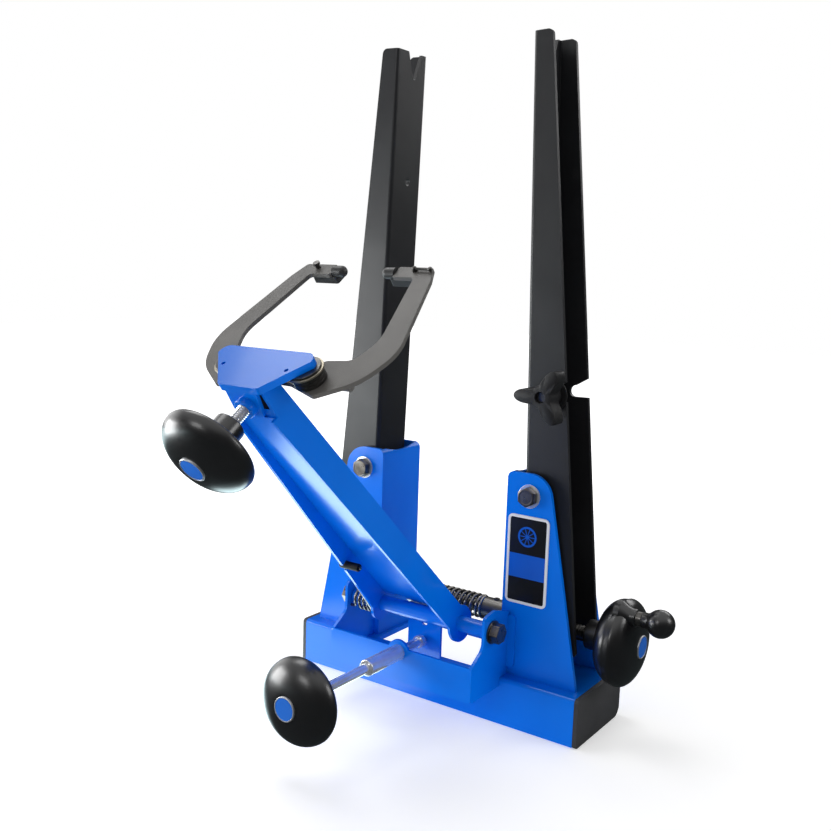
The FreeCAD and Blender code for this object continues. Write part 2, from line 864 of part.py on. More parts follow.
def crank_parts():
    """Crank knob, its medallion, its pin and the ball that spins on the pin."""
    hub_end = crank_hub_end - crank_hub_start
    rim_start = crank_rim_start - crank_hub_start
    rim_end = crank_rim_end - crank_hub_start
    edge = crank_rim_radius - crank_rim_bulge
    profile = [(0, 0), (0, crank_hub_radius)]
    profile.extend(lens_back(hub_end, crank_hub_radius, rim_start, edge))
    profile.append((half * (rim_start + rim_end), crank_rim_radius))
    profile.extend(domed(rim_end, edge, crank_face - crank_rim_end, knob_steps))
    knob = turned(profile, Vector(crank_hub_start, 0, spindle_z), across_x)
    pin_z = spindle_z + crank_pin_z_offset
    boss_length = crank_boss_end - crank_rim_end
    boss = [(0, 0), (0, crank_boss_foot_radius), (boss_length, crank_boss_radius), (boss_length, 0)]
    knob = knob.fuse(turned(boss, Vector(crank_rim_end, crank_pin_y, pin_z), across_x)).removeSplitter()
    knob = knob.cut(rod_bore())
    pin_start = half * (crank_rim_start + crank_rim_end)
    pin_end = crank_ball_centre + crank_ball_radius * half
    pin = along_x(crank_pin_y, pin_z, pin_start, pin_end, crank_pin_radius)
    collar = along_x(crank_pin_y, pin_z, pin_start, crank_pin_collar_end, crank_pin_collar_radius)
    pin = pin.fuse(collar).removeSplitter()
    knob = knob.cut(pin)
    seat_start = crank_face - medallion_sink
    seat_end = crank_face + medallion_height
    medallion = along_x(0, spindle_z, seat_start, seat_end, medallion_radius)
    nodes["crank_knob"] = knob.cut(medallion)
    nodes["crank_medallion"] = medallion
    nodes["crank_pin"] = pin
    ball = Part.makeSphere(crank_ball_radius, Vector(crank_ball_centre, crank_pin_y, pin_z))
    neck_start = crank_pin_collar_end + running_clearance
    neck = along_x(crank_pin_y, pin_z, neck_start, crank_ball_centre, crank_pin_collar_radius)
    bore_radius = crank_pin_radius + running_clearance
    bore = along_x(crank_pin_y, pin_z, pin_start, pin_end + running_clearance, bore_radius)
    nodes["crank_ball"] = ball.fuse(neck).removeSplitter().cut(bore)


# Pivot bracket in front of the base

def pivot_bracket():
    """U of sheet: front plate with a bump round the screw, and an ear at each end."""
    inner = bracket_half_width - sheet
    top = [
        (-bracket_half_width, bracket_foot, bend_outer),
        (bracket_half_width, bracket_foot, bend_outer),
        (bracket_half_width, bracket_front_top, bend_outer),
        (-bracket_half_width, bracket_front_top, bend_outer),
    ]
    front_place = flat_place(Vector(0, bracket_front, 0), across_x, up_z)
    front = plate(top, front_place, back_y * sheet)
    front = front.fuse(along_y(0, radial_z, bracket_front, bracket_front + sheet, bracket_bump_radius))
    ear = [
        (bracket_front, bracket_foot, bend_outer),
        (bracket_front, bracket_front_top, ear_front_corner),
        (ear_waist_y, ear_waist_z, ear_waist_corner),
        (ear_waist_y, ear_shoulder_z, half * ear_top_corner),
        (ear_peak_y, ear_peak_z, ear_top_corner),
        (-tower_flange_outer, ear_back_z, 0),
        (-tower_flange_outer, base_height, 0),
        (-base_half_depth, base_height, 0),
        (-base_half_depth, bracket_foot, 0),
    ]
    ear_plate = plate(ear, flat_place(Vector(inner, 0, 0), back_y, up_z), across_x * sheet)
    tab = [
        (inner, bracket_return_low, 0),
        (bracket_half_width + bracket_return_width, bracket_return_low, bend_outer),
        (bracket_half_width + bracket_return_width, bracket_return_high, bend_outer),
        (inner, bracket_return_high, 0),
    ]
    tab_plate = plate(tab, flat_place(Vector(0, -tower_flange_outer, 0), across_x, up_z), back_y * -sheet)
    side = ear_plate.fuse(tab_plate)
    side = side.cut(pivot_hole())
    bracket = front.fuse([side, mirrored(side)])
    bush_hole = along_y(0, radial_z, bracket_front - sheet, bracket_front + 2 * sheet, radial_bush_radius)
    bracket = bracket.cut(bush_hole)
    return bracket.removeSplitter()


def pivot_hole():
    """Clearance hole of the arm's bolt."""
    reach = 2 * bracket_half_width
    return along_x(pivot_y, pivot_z, -reach, reach, pivot_bolt_radius + bolt_hole_clearance)


def pivot_fasteners():
    """The bolt along X that carries the arm, with its head on the right and its nut on the left."""
    washer_end = bracket_half_width + pivot_washer_height
    head_end = bracket_half_width + pivot_head_height + pivot_washer_height
    nut_start = -bracket_half_width - pivot_nut_height
    shank_end = nut_start - pivot_washer_height
    shank = along_x(pivot_y, pivot_z, shank_end, bracket_half_width, pivot_bolt_radius)
    flange = along_x(pivot_y, pivot_z, bracket_half_width, washer_end, pivot_head_radius)
    head = hexagon(Vector(washer_end, pivot_y, pivot_z), across_x, pivot_nut_radius, head_end - washer_end)
    nodes["arm_pivot_bolt"] = shank.fuse([flange, head]).removeSplitter()
    nut = hexagon(Vector(nut_start, pivot_y, pivot_z), across_x, pivot_nut_radius, pivot_nut_height)
    nodes["arm_pivot_nut"] = nut.cut(shank)


def radial_bush():
    """Threaded sleeve through the bracket's front plate, with a flange behind it."""
    inner_face = bracket_front + sheet
    bush = along_y(0, radial_z, radial_bush_end, inner_face, radial_bush_radius)
    flange = along_y(0, radial_z, inner_face, inner_face + radial_bush_flange, radial_bush_flange_radius)
    bore_radius = radial_shaft_radius + running_clearance
    bore = along_y(0, radial_z, radial_bush_end - sheet, 0, bore_radius)
    return bush.fuse(flange).removeSplitter().cut(bore)


# Support arm

def support_arm():
    """Tapered channel with rounded feet at the pivot and a tongue that the radial screw pushes."""
    length = arm_overlength
    start_half = arm_half_width - arm_taper * arm_web_start
    end_half = arm_half_width - arm_taper * length
    web_outline = [
        (-start_half, arm_web_start, 0),
        (start_half, arm_web_start, 0),
        (end_half, length, 0),
        (-end_half, length, 0),
    ]
    web_way = (arm_s - arm_t * arm_web_slope).normalize()
    web_normal = across_x.cross(web_way) * -1
    web_origin = pivot + arm_t * arm_web_foot_outer
    web = plate(web_outline, flat_place(web_origin, across_x, web_way), web_normal * -sheet)
    flange_way = (arm_s - across_x * arm_taper).normalize()
    stretch = math.sqrt(1 + arm_taper * arm_taper)
    inward = flange_way.cross(arm_t).normalize()
    if inward.x > 0:
        inward = inward * -1
    corners = [
        (0, arm_flange_edge, 0),
        (length * stretch, arm_flange_edge, 0),
        (length * stretch, arm_web_outer, 0),
        (0, arm_web_outer, 0),
    ]
    foot = pivot + across_x * arm_half_width
    flange = plate(corners, flat_place(foot, flange_way, arm_t), inward * sheet)
    flange = flange.fuse(Part.makeCylinder(arm_lobe_radius, sheet, foot, inward))
    tongue_back = tongue_front + sheet
    web_top = web_origin + web_way * (2 * arm_web_start)
    web_top_inner = web_top - web_normal * sheet
    rise = web_way.z / web_way.y
    inner_meet_z = web_top_inner.z + (tongue_front - web_top_inner.y) * rise
    outer_meet_z = web_top.z + (tongue_back - web_top.y) * rise
    tongue_section = [
        (tongue_front, tongue_foot, 0),
        (tongue_front, inner_meet_z, half * bend_outer),
        (web_top_inner.y, web_top_inner.z, 0),
        (web_top.y, web_top.z, 0),
        (tongue_back, outer_meet_z, bend_outer),
        (tongue_back, tongue_foot, 0),
    ]
    left = Vector(-tongue_half_width, 0, 0)
    tongue = plate(tongue_section, flat_place(left, back_y, up_z), across_x * (2 * tongue_half_width))
    hole = along_y(0, tongue_hole_z, tongue_front - sheet, tongue_back + sheet, tongue_hole_radius)
    arm = web.fuse([flange, mirrored(flange), tongue.cut(hole)]).removeSplitter()
    arm = arm.cut(along_x(pivot_y, pivot_z, -bracket_half_width, bracket_half_width, pivot_tube_radius))
    arm = arm.cut(spring_notch())
    arm = arm.cut(head_box(-length, -length, head_top - sheet, 2 * length, 2 * length, length))
    arm = arm.cut(head_plate())
    lip_face = head_front_w + sheet
    space_foot = head_lip_foot - arm_lip_gap
    front_space = head_box(-length, lip_face - length, space_foot, 2 * length, length, length)
    arm = arm.cut(front_space)
    start = at_head(0, head_front_w, caliper_screw_h)
    finish = at_head(0, caliper_pivot_w, caliper_screw_h)
    return arm.cut(rod(start, finish, caliper_bush_radius + caliper_web_clearance))


def spring_notch():
    """Cutter for the notch in the left flange's edge, through which the arm spring's leg bends."""
    low_s = arm_spring_leg_s - half * spring_notch_width
    box = Part.makeBox(arm_half_width, spring_notch_depth + sheet, spring_notch_width)
    corner = at_arm(-arm_half_width - sheet, low_s, arm_flange_edge - sheet)
    box.Placement = FreeCAD.Placement(corner, FreeCAD.Rotation(across_x, arm_t, arm_s, "XYZ"))
    return box


def head_box(u, w, h, width, depth, height):
    """Box along the axes of the head's frame, from its low corner."""
    box = Part.makeBox(width, depth, height)
    box.Placement = FreeCAD.Placement(at_head(u, w, h), FreeCAD.Rotation(across_x, head_w, head_h, "XYZ"))
    return box


def pivot_tube():
    """Tube through both flanges that turns on the bolt with the arm."""
    end = bracket_half_width - sheet - pivot_tube_end_gap
    return ring(
        Vector(-end, pivot_y, pivot_z),
        Vector(end, pivot_y, pivot_z),
        pivot_tube_radius,
        pivot_bolt_radius + running_clearance,
    )


def arm_spring():
    """Coils with a straight leg along the arm that bends square through a notch in its flange."""
    mean = arm_spring_radius
    wire = arm_spring_wire
    first_x = -(bracket_half_width - sheet - arm_spring_ear_gap)
    begin_x = first_x + arm_spring_end_share * wire
    end_x = begin_x + arm_spring_pitch * arm_spring_turns
    lead = arm_spring_pitch / (2 * math.pi * mean)
    points = [at_arm(first_x, 0, -mean), at_arm(first_x + wire, 0, -mean)]
    ways = [across_x, across_x]
    skip = arm_spring_bend_share * wire / mean
    count = 2 * arm_spring_turns
    for i in range(count + 1):
        angle = skip + (2 * math.pi * arm_spring_turns - skip) * i / count
        x = begin_x + (end_x - begin_x) * i / count
        points.append(at_arm(x, mean * math.sin(angle), -mean * math.cos(angle)))
        way = across_x * lead + arm_s * math.cos(angle) + arm_t * math.sin(angle)
        ways.append(way.normalize())
    leg_t = arm_spring_leg_t
    flange_outer = -(arm_half_width - arm_taper * arm_spring_leg_s)
    leg_x = flange_outer - arm_spring_leg_gap - half * wire
    run_end = arm_spring_leg_s - arm_spring_leg_bend
    begin = points[-1]
    points.append(at_arm(leg_x, run_end, leg_t))
    leg_way = (points[-1] - begin).normalize()
    ways[-1] = leg_way
    ways.append(leg_way)
    points.append(at_arm(leg_x + arm_spring_leg_bend, arm_spring_leg_s, leg_t))
    ways.append(across_x)
    leg_end = flange_outer + arm_spring_leg_reach
    points.append(at_arm(leg_end, arm_spring_leg_s, leg_t))
    ways.append(across_x)
    print("arm spring: gap to itself", round(arm_spring_pitch - wire, 3))
    nodes["arm_spring"] = wire_tube(points, ways, half * wire)
    sleeve_start = at_arm(leg_end - sleeve_length, arm_spring_leg_s, leg_t)
    sleeve_end = at_arm(leg_end, arm_spring_leg_s, leg_t)
    nodes["spring_sleeve"] = ring(sleeve_start, sleeve_end, sleeve_radius, half * wire)


# Head with its caliper arms and screw

def head_plate():
    """Plate on top of the arm, with lips folded down at its slanted sides and in front."""
    bottom = head_top - sheet
    lobe_u = caliper_pivot_u + head_lobe_radius
    rear_w = caliper_pivot_w + head_lobe_radius
    corners = [
        (-lobe_u, rear_w, head_lobe_rounding),
        (lobe_u, rear_w, head_lobe_rounding),
        (lobe_u, caliper_pivot_w, head_side_rounding * half),
        (head_front_half_width, head_front_w, head_front_rounding),
        (-head_front_half_width, head_front_w, head_front_rounding),
        (-lobe_u, caliper_pivot_w, head_side_rounding * half),
    ]
    side_foot = head_top - head_side_drop
    foot_place = flat_place(at_head(0, 0, side_foot), across_x, head_w)
    top = plate(corners, foot_place, head_h * head_side_drop)
    inner = Part.Face(rounded_wire(corners, foot_place)).makeOffset2D(-sheet)
    top = top.cut(inner.extrude(head_h * (head_side_drop - sheet)))
    inner_half = lobe_u - sheet
    rear_depth = 2 * head_lobe_radius
    rear_height = bottom - side_foot
    rear_space = head_box(-inner_half, caliper_pivot_w, side_foot, 2 * inner_half, rear_depth, rear_height)
    top = top.cut(rear_space)
    lip = [
        (-head_lip_foot_half_width, head_lip_foot, head_front_rounding),
        (head_lip_foot_half_width, head_lip_foot, head_front_rounding),
        (head_front_half_width - head_front_rounding, bottom, 0),
        (head_front_rounding - head_front_half_width, bottom, 0),
    ]
    lip_place = flat_place(at_head(0, head_front_w, 0), across_x, head_h)
    front = plate(lip, lip_place, head_w * sheet)
    head = top.fuse(front).removeSplitter()
    screw_hole = rod(
        at_head(0, head_front_w - sheet, caliper_screw_h),
        at_head(0, head_front_w + 2 * sheet, caliper_screw_h),
        caliper_bush_radius,
    )
    head = head.cut(screw_hole)
    for side in (-1, 1):
        hole_low = at_head(side * head_hole_u, head_hole_w, bottom - sheet)
        hole_high = at_head(side * head_hole_u, head_hole_w, head_top + sheet)
        head = head.cut(rod(hole_low, hole_high, head_hole_radius))
    return head


def caliper_pivots():
    """Stud and spacer on the right on which the caliper arm turns."""
    arm_foot = -caliper_thickness - caliper_spacer_gap
    foot = at_head(caliper_pivot_u, caliper_pivot_w, arm_foot - caliper_nut_height)
    nut_top = at_head(caliper_pivot_u, caliper_pivot_w, arm_foot)
    stud_top = at_head(caliper_pivot_u, caliper_pivot_w, head_top - sheet)
    stud = rod(foot, stud_top, caliper_pivot_radius).fuse(rod(foot, nut_top, caliper_nut_radius))
    both_sides("caliper_pivot", stud.removeSplitter())
    spacer_top = head_top - head_side_drop - caliper_spacer_gap
    profile = [
        (caliper_spacer_gap, caliper_pivot_radius),
        (caliper_spacer_gap, caliper_spacer_radius),
        (caliper_spacer_washer_low, caliper_spacer_radius),
        (caliper_spacer_washer_low, caliper_spacer_washer_radius),
        (caliper_spacer_washer_high, caliper_spacer_washer_radius),
        (caliper_spacer_washer_high, caliper_spacer_radius),
        (spacer_top, caliper_spacer_radius),
        (spacer_top, caliper_pivot_radius),
    ]
    both_sides("caliper_spacer", turned(profile, at_head(caliper_pivot_u, caliper_pivot_w, 0), head_h))


def caliper_bush():
    """Threaded bush of the caliper screw through the head's front lip."""
    start_w = head_front_w - caliper_bush_front
    start = at_head(0, start_w, caliper_screw_h)
    finish = at_head(0, start_w + caliper_bush_length, caliper_screw_h)
    return ring(start, finish, caliper_bush_radius, caliper_screw_radius + running_clearance)


def caliper_parts():
    """Right caliper arm with its tip plate and screws, and their mirror images."""
    arm = plate(
        caliper_outline,
        flat_place(at_head(0, 0, -caliper_thickness), across_x, head_w),
        head_h * caliper_thickness,
    )
    low = at_head(caliper_pivot_u, caliper_pivot_w, -2 * caliper_thickness)
    high = at_head(caliper_pivot_u, caliper_pivot_w, caliper_thickness)
    arm = arm.cut(rod(low, high, caliper_pivot_radius + running_clearance))
    stop_h = -caliper_thickness - caliper_stop_radius * caliper_stop_seat_share
    stop_start = at_head(caliper_stop_u, caliper_stop_w, stop_h)
    stop = rod(stop_start, stop_start + across_x * caliper_stop_length, caliper_stop_radius)
    arm = arm.fuse(stop).removeSplitter()
    tip = [
        (tip_inner_u, tip_front_w, tip_rounding),
        (tip_outer_u, tip_front_w, tip_rounding),
        (tip_outer_u, tip_rear_w, tip_rounding),
        (tip_inner_u, tip_rear_w, tip_rounding),
    ]
    block_foot = -caliper_thickness - tip_thickness
    block = plate(tip, flat_place(at_head(0, 0, block_foot), across_x, head_w), head_h * tip_thickness)
    nose_w = half * (tip_front_w + tip_rear_w)
    nose_centre = at_head(tip_nose_u + tip_nose_radius, nose_w, tip_nose_h)
    nose_root = at_head(tip_nose_root_u, nose_w, tip_nose_h)
    nose = rod(nose_centre, nose_root, tip_nose_radius).fuse(Part.makeSphere(tip_nose_radius, nose_centre))
    foot = at_head(tip_screw_u, tip_screw_w, block_foot)
    neck = at_head(tip_screw_u, tip_screw_w, tip_screw_height - tip_screw_head)
    top = at_head(tip_screw_u, tip_screw_w, tip_screw_height)
    hole = rod(foot, top, tip_screw_radius)
    both_sides("caliper_arm", arm.cut(hole))
    both_sides("caliper_tip", block.fuse(nose).removeSplitter().cut(hole))
    post = hole.fuse(rod(neck, top, tip_screw_head_radius)).removeSplitter()
    nodes["tip_screw_left"] = mirrored(post)
    bend = at_head(tip_screw_u, tip_screw_w, tip_screw_radius)
    end = at_head(pointer_end_u, tip_screw_w, tip_screw_radius)
    elbow = Part.makeSphere(tip_screw_radius, bend)
    ball = Part.makeSphere(pointer_ball_radius, end)
    bent = rod(foot, bend, tip_screw_radius).fuse([elbow, rod(bend, end, pointer_radius), ball])
    nodes["tip_screw_right"] = bent.removeSplitter()


# Knobs on the radial and caliper screws

def ball_knob(start, axis):
    """Mushroom knob: hub, rounded neck, cone, rim and dome, from the hub's start along the axis."""
    rim_end = knob_rim_offset + knob_rim_width
    edge = knob_rim_radius - knob_rim_bulge
    profile = [(0, 0), (0, knob_hub_radius)]
    for i in range(knob_steps + 1):
        angle = math.pi * half * i / knob_steps
        along = knob_hub_length + knob_neck_radius * math.sin(angle)
        profile.append((along, knob_hub_radius + knob_neck_radius * (1 - math.cos(angle))))
    profile.append((knob_rim_offset, edge))
    profile.append((knob_rim_offset + half * knob_rim_width, knob_rim_radius))
    profile.extend(domed(rim_end, edge, knob_dome, knob_steps))
    return turned(profile, start, axis)


def knob_parts(name, screw, start, axis, screw_radius):
    """A knob on its screw, with a medallion let into the dome."""
    knob = ball_knob(start, axis)
    socket_end = start + axis * (knob_socket_depth + running_clearance)
    socket = rod(start, socket_end, screw_radius + running_clearance)
    face = knob_rim_offset + knob_rim_width + knob_dome
    medallion = rod(
        start + axis * (face - medallion_sink), start + axis * (face + medallion_height), medallion_radius
    )
    nodes[name + "_screw"] = screw
    nodes[name + "_knob"] = knob.cut(socket).cut(medallion)
    nodes[name + "_medallion"] = medallion


def radial_parts():
    """Radial screw, its knob and medallion."""
    nose_end = tongue_front - radial_touch_gap
    start = Vector(0, radial_hub_start, radial_z)
    shaft_start = radial_hub_start - knob_socket_depth
    shaft = along_y(0, radial_z, shaft_start, nose_end - radial_nose_length, radial_shaft_radius)
    dome_start = nose_end - radial_nose_radius
    nose = along_y(0, radial_z, nose_end - radial_nose_length, dome_start, radial_nose_radius)
    dome = Part.makeSphere(radial_nose_radius, Vector(0, dome_start, radial_z))
    screw = shaft.fuse([nose, dome]).removeSplitter()
    knob_parts("radial", screw, start, back_y * -1, radial_shaft_radius)


def caliper_screw_parts():
    """Caliper screw, its knob and medallion."""
    start = at_head(0, caliper_hub_w, caliper_screw_h)
    nose_end = at_head(0, caliper_nose_w, caliper_screw_h)
    screw = rod(start - head_w * knob_socket_depth, nose_end, caliper_screw_radius)
    knob_parts("caliper", screw, start, head_w * -1, caliper_screw_radius)


nodes["base_frame"] = folded_base()
both_sides("end_cap", end_cap())
both_sides("tower", tower())
tower_bolt_parts()
nodes["badge_plate"] = badge()
both_sides("upright", upright())
star_parts()
spindle_parts()
crank_parts()
nodes["pivot_bracket"] = pivot_bracket()
pivot_fasteners()
nodes["radial_bush"] = radial_bush()
nodes["support_arm"] = support_arm()
nodes["pivot_tube"] = pivot_tube()
arm_spring()
nodes["head_plate"] = head_plate()
caliper_pivots()
nodes["caliper_bush"] = caliper_bush()
caliper_parts()
radial_parts()
caliper_screw_parts()

os.makedirs("parts", exist_ok=True)
for node_name, node_shape in nodes.items():
    node_shape.exportStep("parts/" + node_name + ".step")
    if not node_shape.isValid() or len(node_shape.Solids) != 1:
        print("look at", node_name, "valid", node_shape.isValid(), "solids", len(node_shape.Solids))
print(len(nodes), "pieces")
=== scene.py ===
import json
import math
import bmesh
import bpy
import numpy as np
from mathutils import Matrix, Vector


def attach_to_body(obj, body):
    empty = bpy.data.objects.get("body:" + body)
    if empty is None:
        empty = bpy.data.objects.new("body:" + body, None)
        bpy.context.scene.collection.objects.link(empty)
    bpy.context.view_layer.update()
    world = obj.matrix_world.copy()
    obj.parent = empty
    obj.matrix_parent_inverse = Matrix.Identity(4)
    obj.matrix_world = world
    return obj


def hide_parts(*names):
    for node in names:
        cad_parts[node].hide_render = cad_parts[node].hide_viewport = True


# truing stand for bicycle wheels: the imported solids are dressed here, metres throughout,
# and the tables of sizes are in millimetres
mm = 0.001
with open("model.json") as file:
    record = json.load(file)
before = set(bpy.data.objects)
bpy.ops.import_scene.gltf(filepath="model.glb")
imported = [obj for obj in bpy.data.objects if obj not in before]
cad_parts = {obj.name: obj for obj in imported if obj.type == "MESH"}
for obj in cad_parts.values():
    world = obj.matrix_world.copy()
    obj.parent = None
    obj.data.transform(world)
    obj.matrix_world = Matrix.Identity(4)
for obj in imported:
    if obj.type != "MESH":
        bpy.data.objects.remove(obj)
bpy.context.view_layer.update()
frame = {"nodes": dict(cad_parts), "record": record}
nodes = frame["nodes"]
print("frame loaded:", len(nodes), "nodes")

headLean = math.radians(36.75)  # how far the head's plane tips up towards the wheel
armLean = math.radians(44.8)
headOrigin = (0, -128.5, 332.717)
armOrigin = (0, -50.5, 76)
spindleHeight = 73.0
radialHeight = 52.5
acrossX = np.array([1.0, 0.0, 0.0])
backY = np.array([0.0, 1.0, 0.0])
upZ = np.array([0.0, 0.0, 1.0])
headWay = np.array([0.0, math.cos(headLean), math.sin(headLean)])  # along the calipers to the wheel
headUp = np.array([0.0, -math.sin(headLean), math.cos(headLean)])
armWay = np.array([0.0, -math.sin(armLean), math.cos(armLean)])  # along the arm
armUp = np.array([0.0, math.cos(armLean), math.sin(armLean)])


def spot(x, y, z):
    # place in millimetres turned into metres
    return np.array([x, y, z], dtype=float) * mm


def atHead(u, w, h):
    # place in the head's frame: across, along the calipers, square to them
    return spot(*headOrigin) + (acrossX * u + headWay * w + headUp * h) * mm


def atArm(x, s, t):
    # place in the arm's frame: across, along the arm, square to its web
    return spot(*armOrigin) + (acrossX * x + armWay * s + armUp * t) * mm


# camera and room

room = {
    "cameraPlace": (0.40564, -0.6450, 0.3353),
    "azimuth": 34.94,
    "pitch": 8.53,
    "roll": 1.82,
    "focalPixels": 984.73,
    "picturePixels": 831,
    "sensor": 36,
    "nearest": 0.01,
    "floorSize": 8,
    "floorColour": (0.90, 0.90, 0.905, 1),
    "backColour": (1.0, 1.0, 1.0, 1),
    # colour of the painted pools of light on the floor
    "glossColour": (0.75, 0.96, 1.0, 1),
    "skyDiffuse": 0.34,
    "floorBounce": 0.40,
    # strengths that fade with the distance from a place: place, near, far, strength near, strength far; the
    # first is the floor's painted glow that the camera sees, weaker near the object, the second a painted pool
    # of light that only reflections see
    "floorSeen": ((0.0, -0.05, 0.0), 0.25, 1.00, 0.37, 1.0),
    "paintedFloorPool": ((-0.12, -0.08, 0.0), 0.08, 0.13, 4.8, 0.05),
    # a second painted pool of light on the floor at the left, seen only in reflections: its edge along X, and
    # how it fades with distance
    "paintedLeftPool": (-0.85, -0.60, 2.4, 0.0),
    "paintedLeftPoolFade": ((-0.9, -0.6, 0.0), 0.90, 1.75, 1.0, 0.0),
    # strength of the sky that gloss shows, from the height of its direction and from its lean to the left
    "skyGloss": (0.35, 0.90, 0.06, 0.9),
    "skyLeftGloss": (-0.95, -0.74, 2.2, 0.0),
}
lamps = {  # place, target, width, height, power
    "leftBox": ((-0.70, -0.50, 0.20), (-0.05, -0.08, 0.13), 0.45, 0.34, 4.2),
    "overheadBox": ((-0.55, 0.05, 1.25), (0, -0.05, 0.25), 0.7, 0.6, 5.0),
    "frontBox": ((-0.15, -1.5, 0.9), (0, -0.05, 0.20), 0.5, 0.4, 3.0),
    "rightBox": ((1.25, 0.35, 0.75), (0, 0, 0.15), 0.5, 0.5, 3.8),
    "backBox": ((0.10, 1.10, 0.75), (0, 0, 0.10), 0.9, 0.35, 3.0),
}


def makeCamera():
    # the view axes follow from azimuth, pitch and roll
    az = math.radians(room["azimuth"])
    pitch = math.radians(room["pitch"])
    roll = math.radians(room["roll"])
    forward = Vector((-math.sin(az) * math.cos(pitch), math.cos(az) * math.cos(pitch), -math.sin(pitch)))
    right = forward.cross(Vector((0, 0, 1))).normalized()
    up = right.cross(forward)
    turnedRight = math.cos(roll) * right + math.sin(roll) * up
    turnedUp = -math.sin(roll) * right + math.cos(roll) * up
    camera = bpy.data.objects.new("camera", bpy.data.cameras.new("camera"))
    camera.data.sensor_width = room["sensor"]
    camera.data.lens = room["focalPixels"] / room["picturePixels"] * room["sensor"]
    camera.data.clip_start = room["nearest"]
    basis = Matrix((turnedRight, turnedUp, -forward)).transposed().to_4x4()
    camera.matrix_world = Matrix.Translation(room["cameraPlace"]) @ basis
    bpy.context.collection.objects.link(camera)
    bpy.context.scene.camera = camera


def newMaterial(name):
    # material with an empty tree and an output
    material = bpy.data.materials.new(name)
    material.use_nodes = True
    material.node_tree.nodes.clear()
    return material, material.node_tree


def addNode(tree, kind, **inputs):
    # one shader node whose inputs, by name, get a value or a link from another node's output
    node = tree.nodes.new(kind)
    for key, value in inputs.items():
        socket = node.inputs[key.replace("_", " ")]
        if isinstance(value, bpy.types.NodeSocket):
            tree.links.new(value, socket)
        else:
            socket.default_value = value
    return node


def joined(tree, kind, *sources):
    # one shader node whose first inputs are linked in order
    node = tree.nodes.new(kind)
    for socket, source in zip(node.inputs, sources):
        tree.links.new(source, socket)
    return node


def calculated(tree, operation, first, second):
    # two sockets joined by a sum, a product or the larger of both
    step = joined(tree, "ShaderNodeMath", first, second)
    step.operation = operation
    return step.outputs[0]


def byRay(tree, seen, glossy, other):
    # strength as the camera or clear plastic, a gloss or any other ray meets it, each a number or a socket
    path = tree.nodes.new("ShaderNodeLightPath")
    first = addNode(tree, "ShaderNodeMix", Factor=path.outputs["Is Glossy Ray"], A=other, B=glossy)
    direct = calculated(tree, "MAXIMUM", path.outputs["Is Camera Ray"], path.outputs["Is Transmission Ray"])
    return addNode(tree, "ShaderNodeMix", Factor=direct, A=first.outputs["Result"], B=seen).outputs["Result"]


def faded(tree, source, start, finish, first, last):
    # smooth step of a value from one strength to another
    fade = addNode(tree, "ShaderNodeMapRange", Value=source, From_Min=start, From_Max=finish, To_Min=first,
                   To_Max=last)
    fade.interpolation_type = "SMOOTHSTEP"
    return fade.outputs["Result"]


def fadedFrom(tree, facts):
    # strength that changes with the distance from a place on the floor
    place = tree.nodes.new("ShaderNodeNewGeometry")
    reach = joined(tree, "ShaderNodeVectorMath", place.outputs["Position"])
    reach.operation = "DISTANCE"
    reach.inputs[1].default_value = facts[0]
    return faded(tree, reach.outputs["Value"], *facts[1:])


def partOf(tree, kind, output, letter):
    # one component of a node's vector
    source = tree.nodes.new(kind)
    return joined(tree, "ShaderNodeSeparateXYZ", source.outputs[output]).outputs[letter]


def makeFloor():
    # floor that shows plain white to the camera apart from the object's shadow, through a painted glow that is
    # weaker near the object; the glow also lights the object as a bounce would, and painted pools of light on
    # it are seen only in reflections
    bpy.ops.mesh.primitive_plane_add(size=room["floorSize"], location=(0, 0, 0))
    floor = bpy.context.object
    floor.name = "floor"
    material, tree = newMaterial("paleFloor")
    paint = addNode(tree, "ShaderNodeBsdfDiffuse", Color=room["floorColour"])
    seen = byRay(tree, fadedFrom(tree, room["floorSeen"]), 0.0, room["floorBounce"])
    glow = addNode(tree, "ShaderNodeEmission", Color=room["backColour"], Strength=seen)
    both = joined(tree, "ShaderNodeAddShader", paint.outputs[0], glow.outputs[0])
    # painted pools of light, which only glossy rays see
    across = faded(tree, partOf(tree, "ShaderNodeNewGeometry", "Position", "X"), *room["paintedLeftPool"])
    left = calculated(tree, "MULTIPLY", across, fadedFrom(tree, room["paintedLeftPoolFade"]))
    strength = calculated(tree, "ADD", fadedFrom(tree, room["paintedFloorPool"]), left)
    gloss = addNode(tree, "ShaderNodeEmission", Color=room["glossColour"], Strength=strength)
    path = tree.nodes.new("ShaderNodeLightPath")
    mix = joined(tree, "ShaderNodeMixShader", path.outputs["Is Glossy Ray"], both.outputs[0], gloss.outputs[0])
    joined(tree, "ShaderNodeOutputMaterial", mix.outputs[0])
    floor.data.materials.append(material)


def makeSky():
    # sky that gloss sees brighter above and at the left, and the lamps
    world = bpy.data.worlds.new("room")
    bpy.context.scene.world = world
    world.use_nodes = True
    tree = world.node_tree
    tree.nodes.clear()
    height = faded(tree, partOf(tree, "ShaderNodeTexCoord", "Generated", "Z"), *room["skyGloss"])
    lean = faded(tree, partOf(tree, "ShaderNodeTexCoord", "Generated", "X"), *room["skyLeftGloss"])
    strength = byRay(tree, 1.0, calculated(tree, "ADD", height, lean), room["skyDiffuse"])
    sky = addNode(tree, "ShaderNodeBackground", Color=room["backColour"], Strength=strength)
    joined(tree, "ShaderNodeOutputWorld", sky.outputs[0])
    for name, facts in lamps.items():
        addLamp(name, *facts)


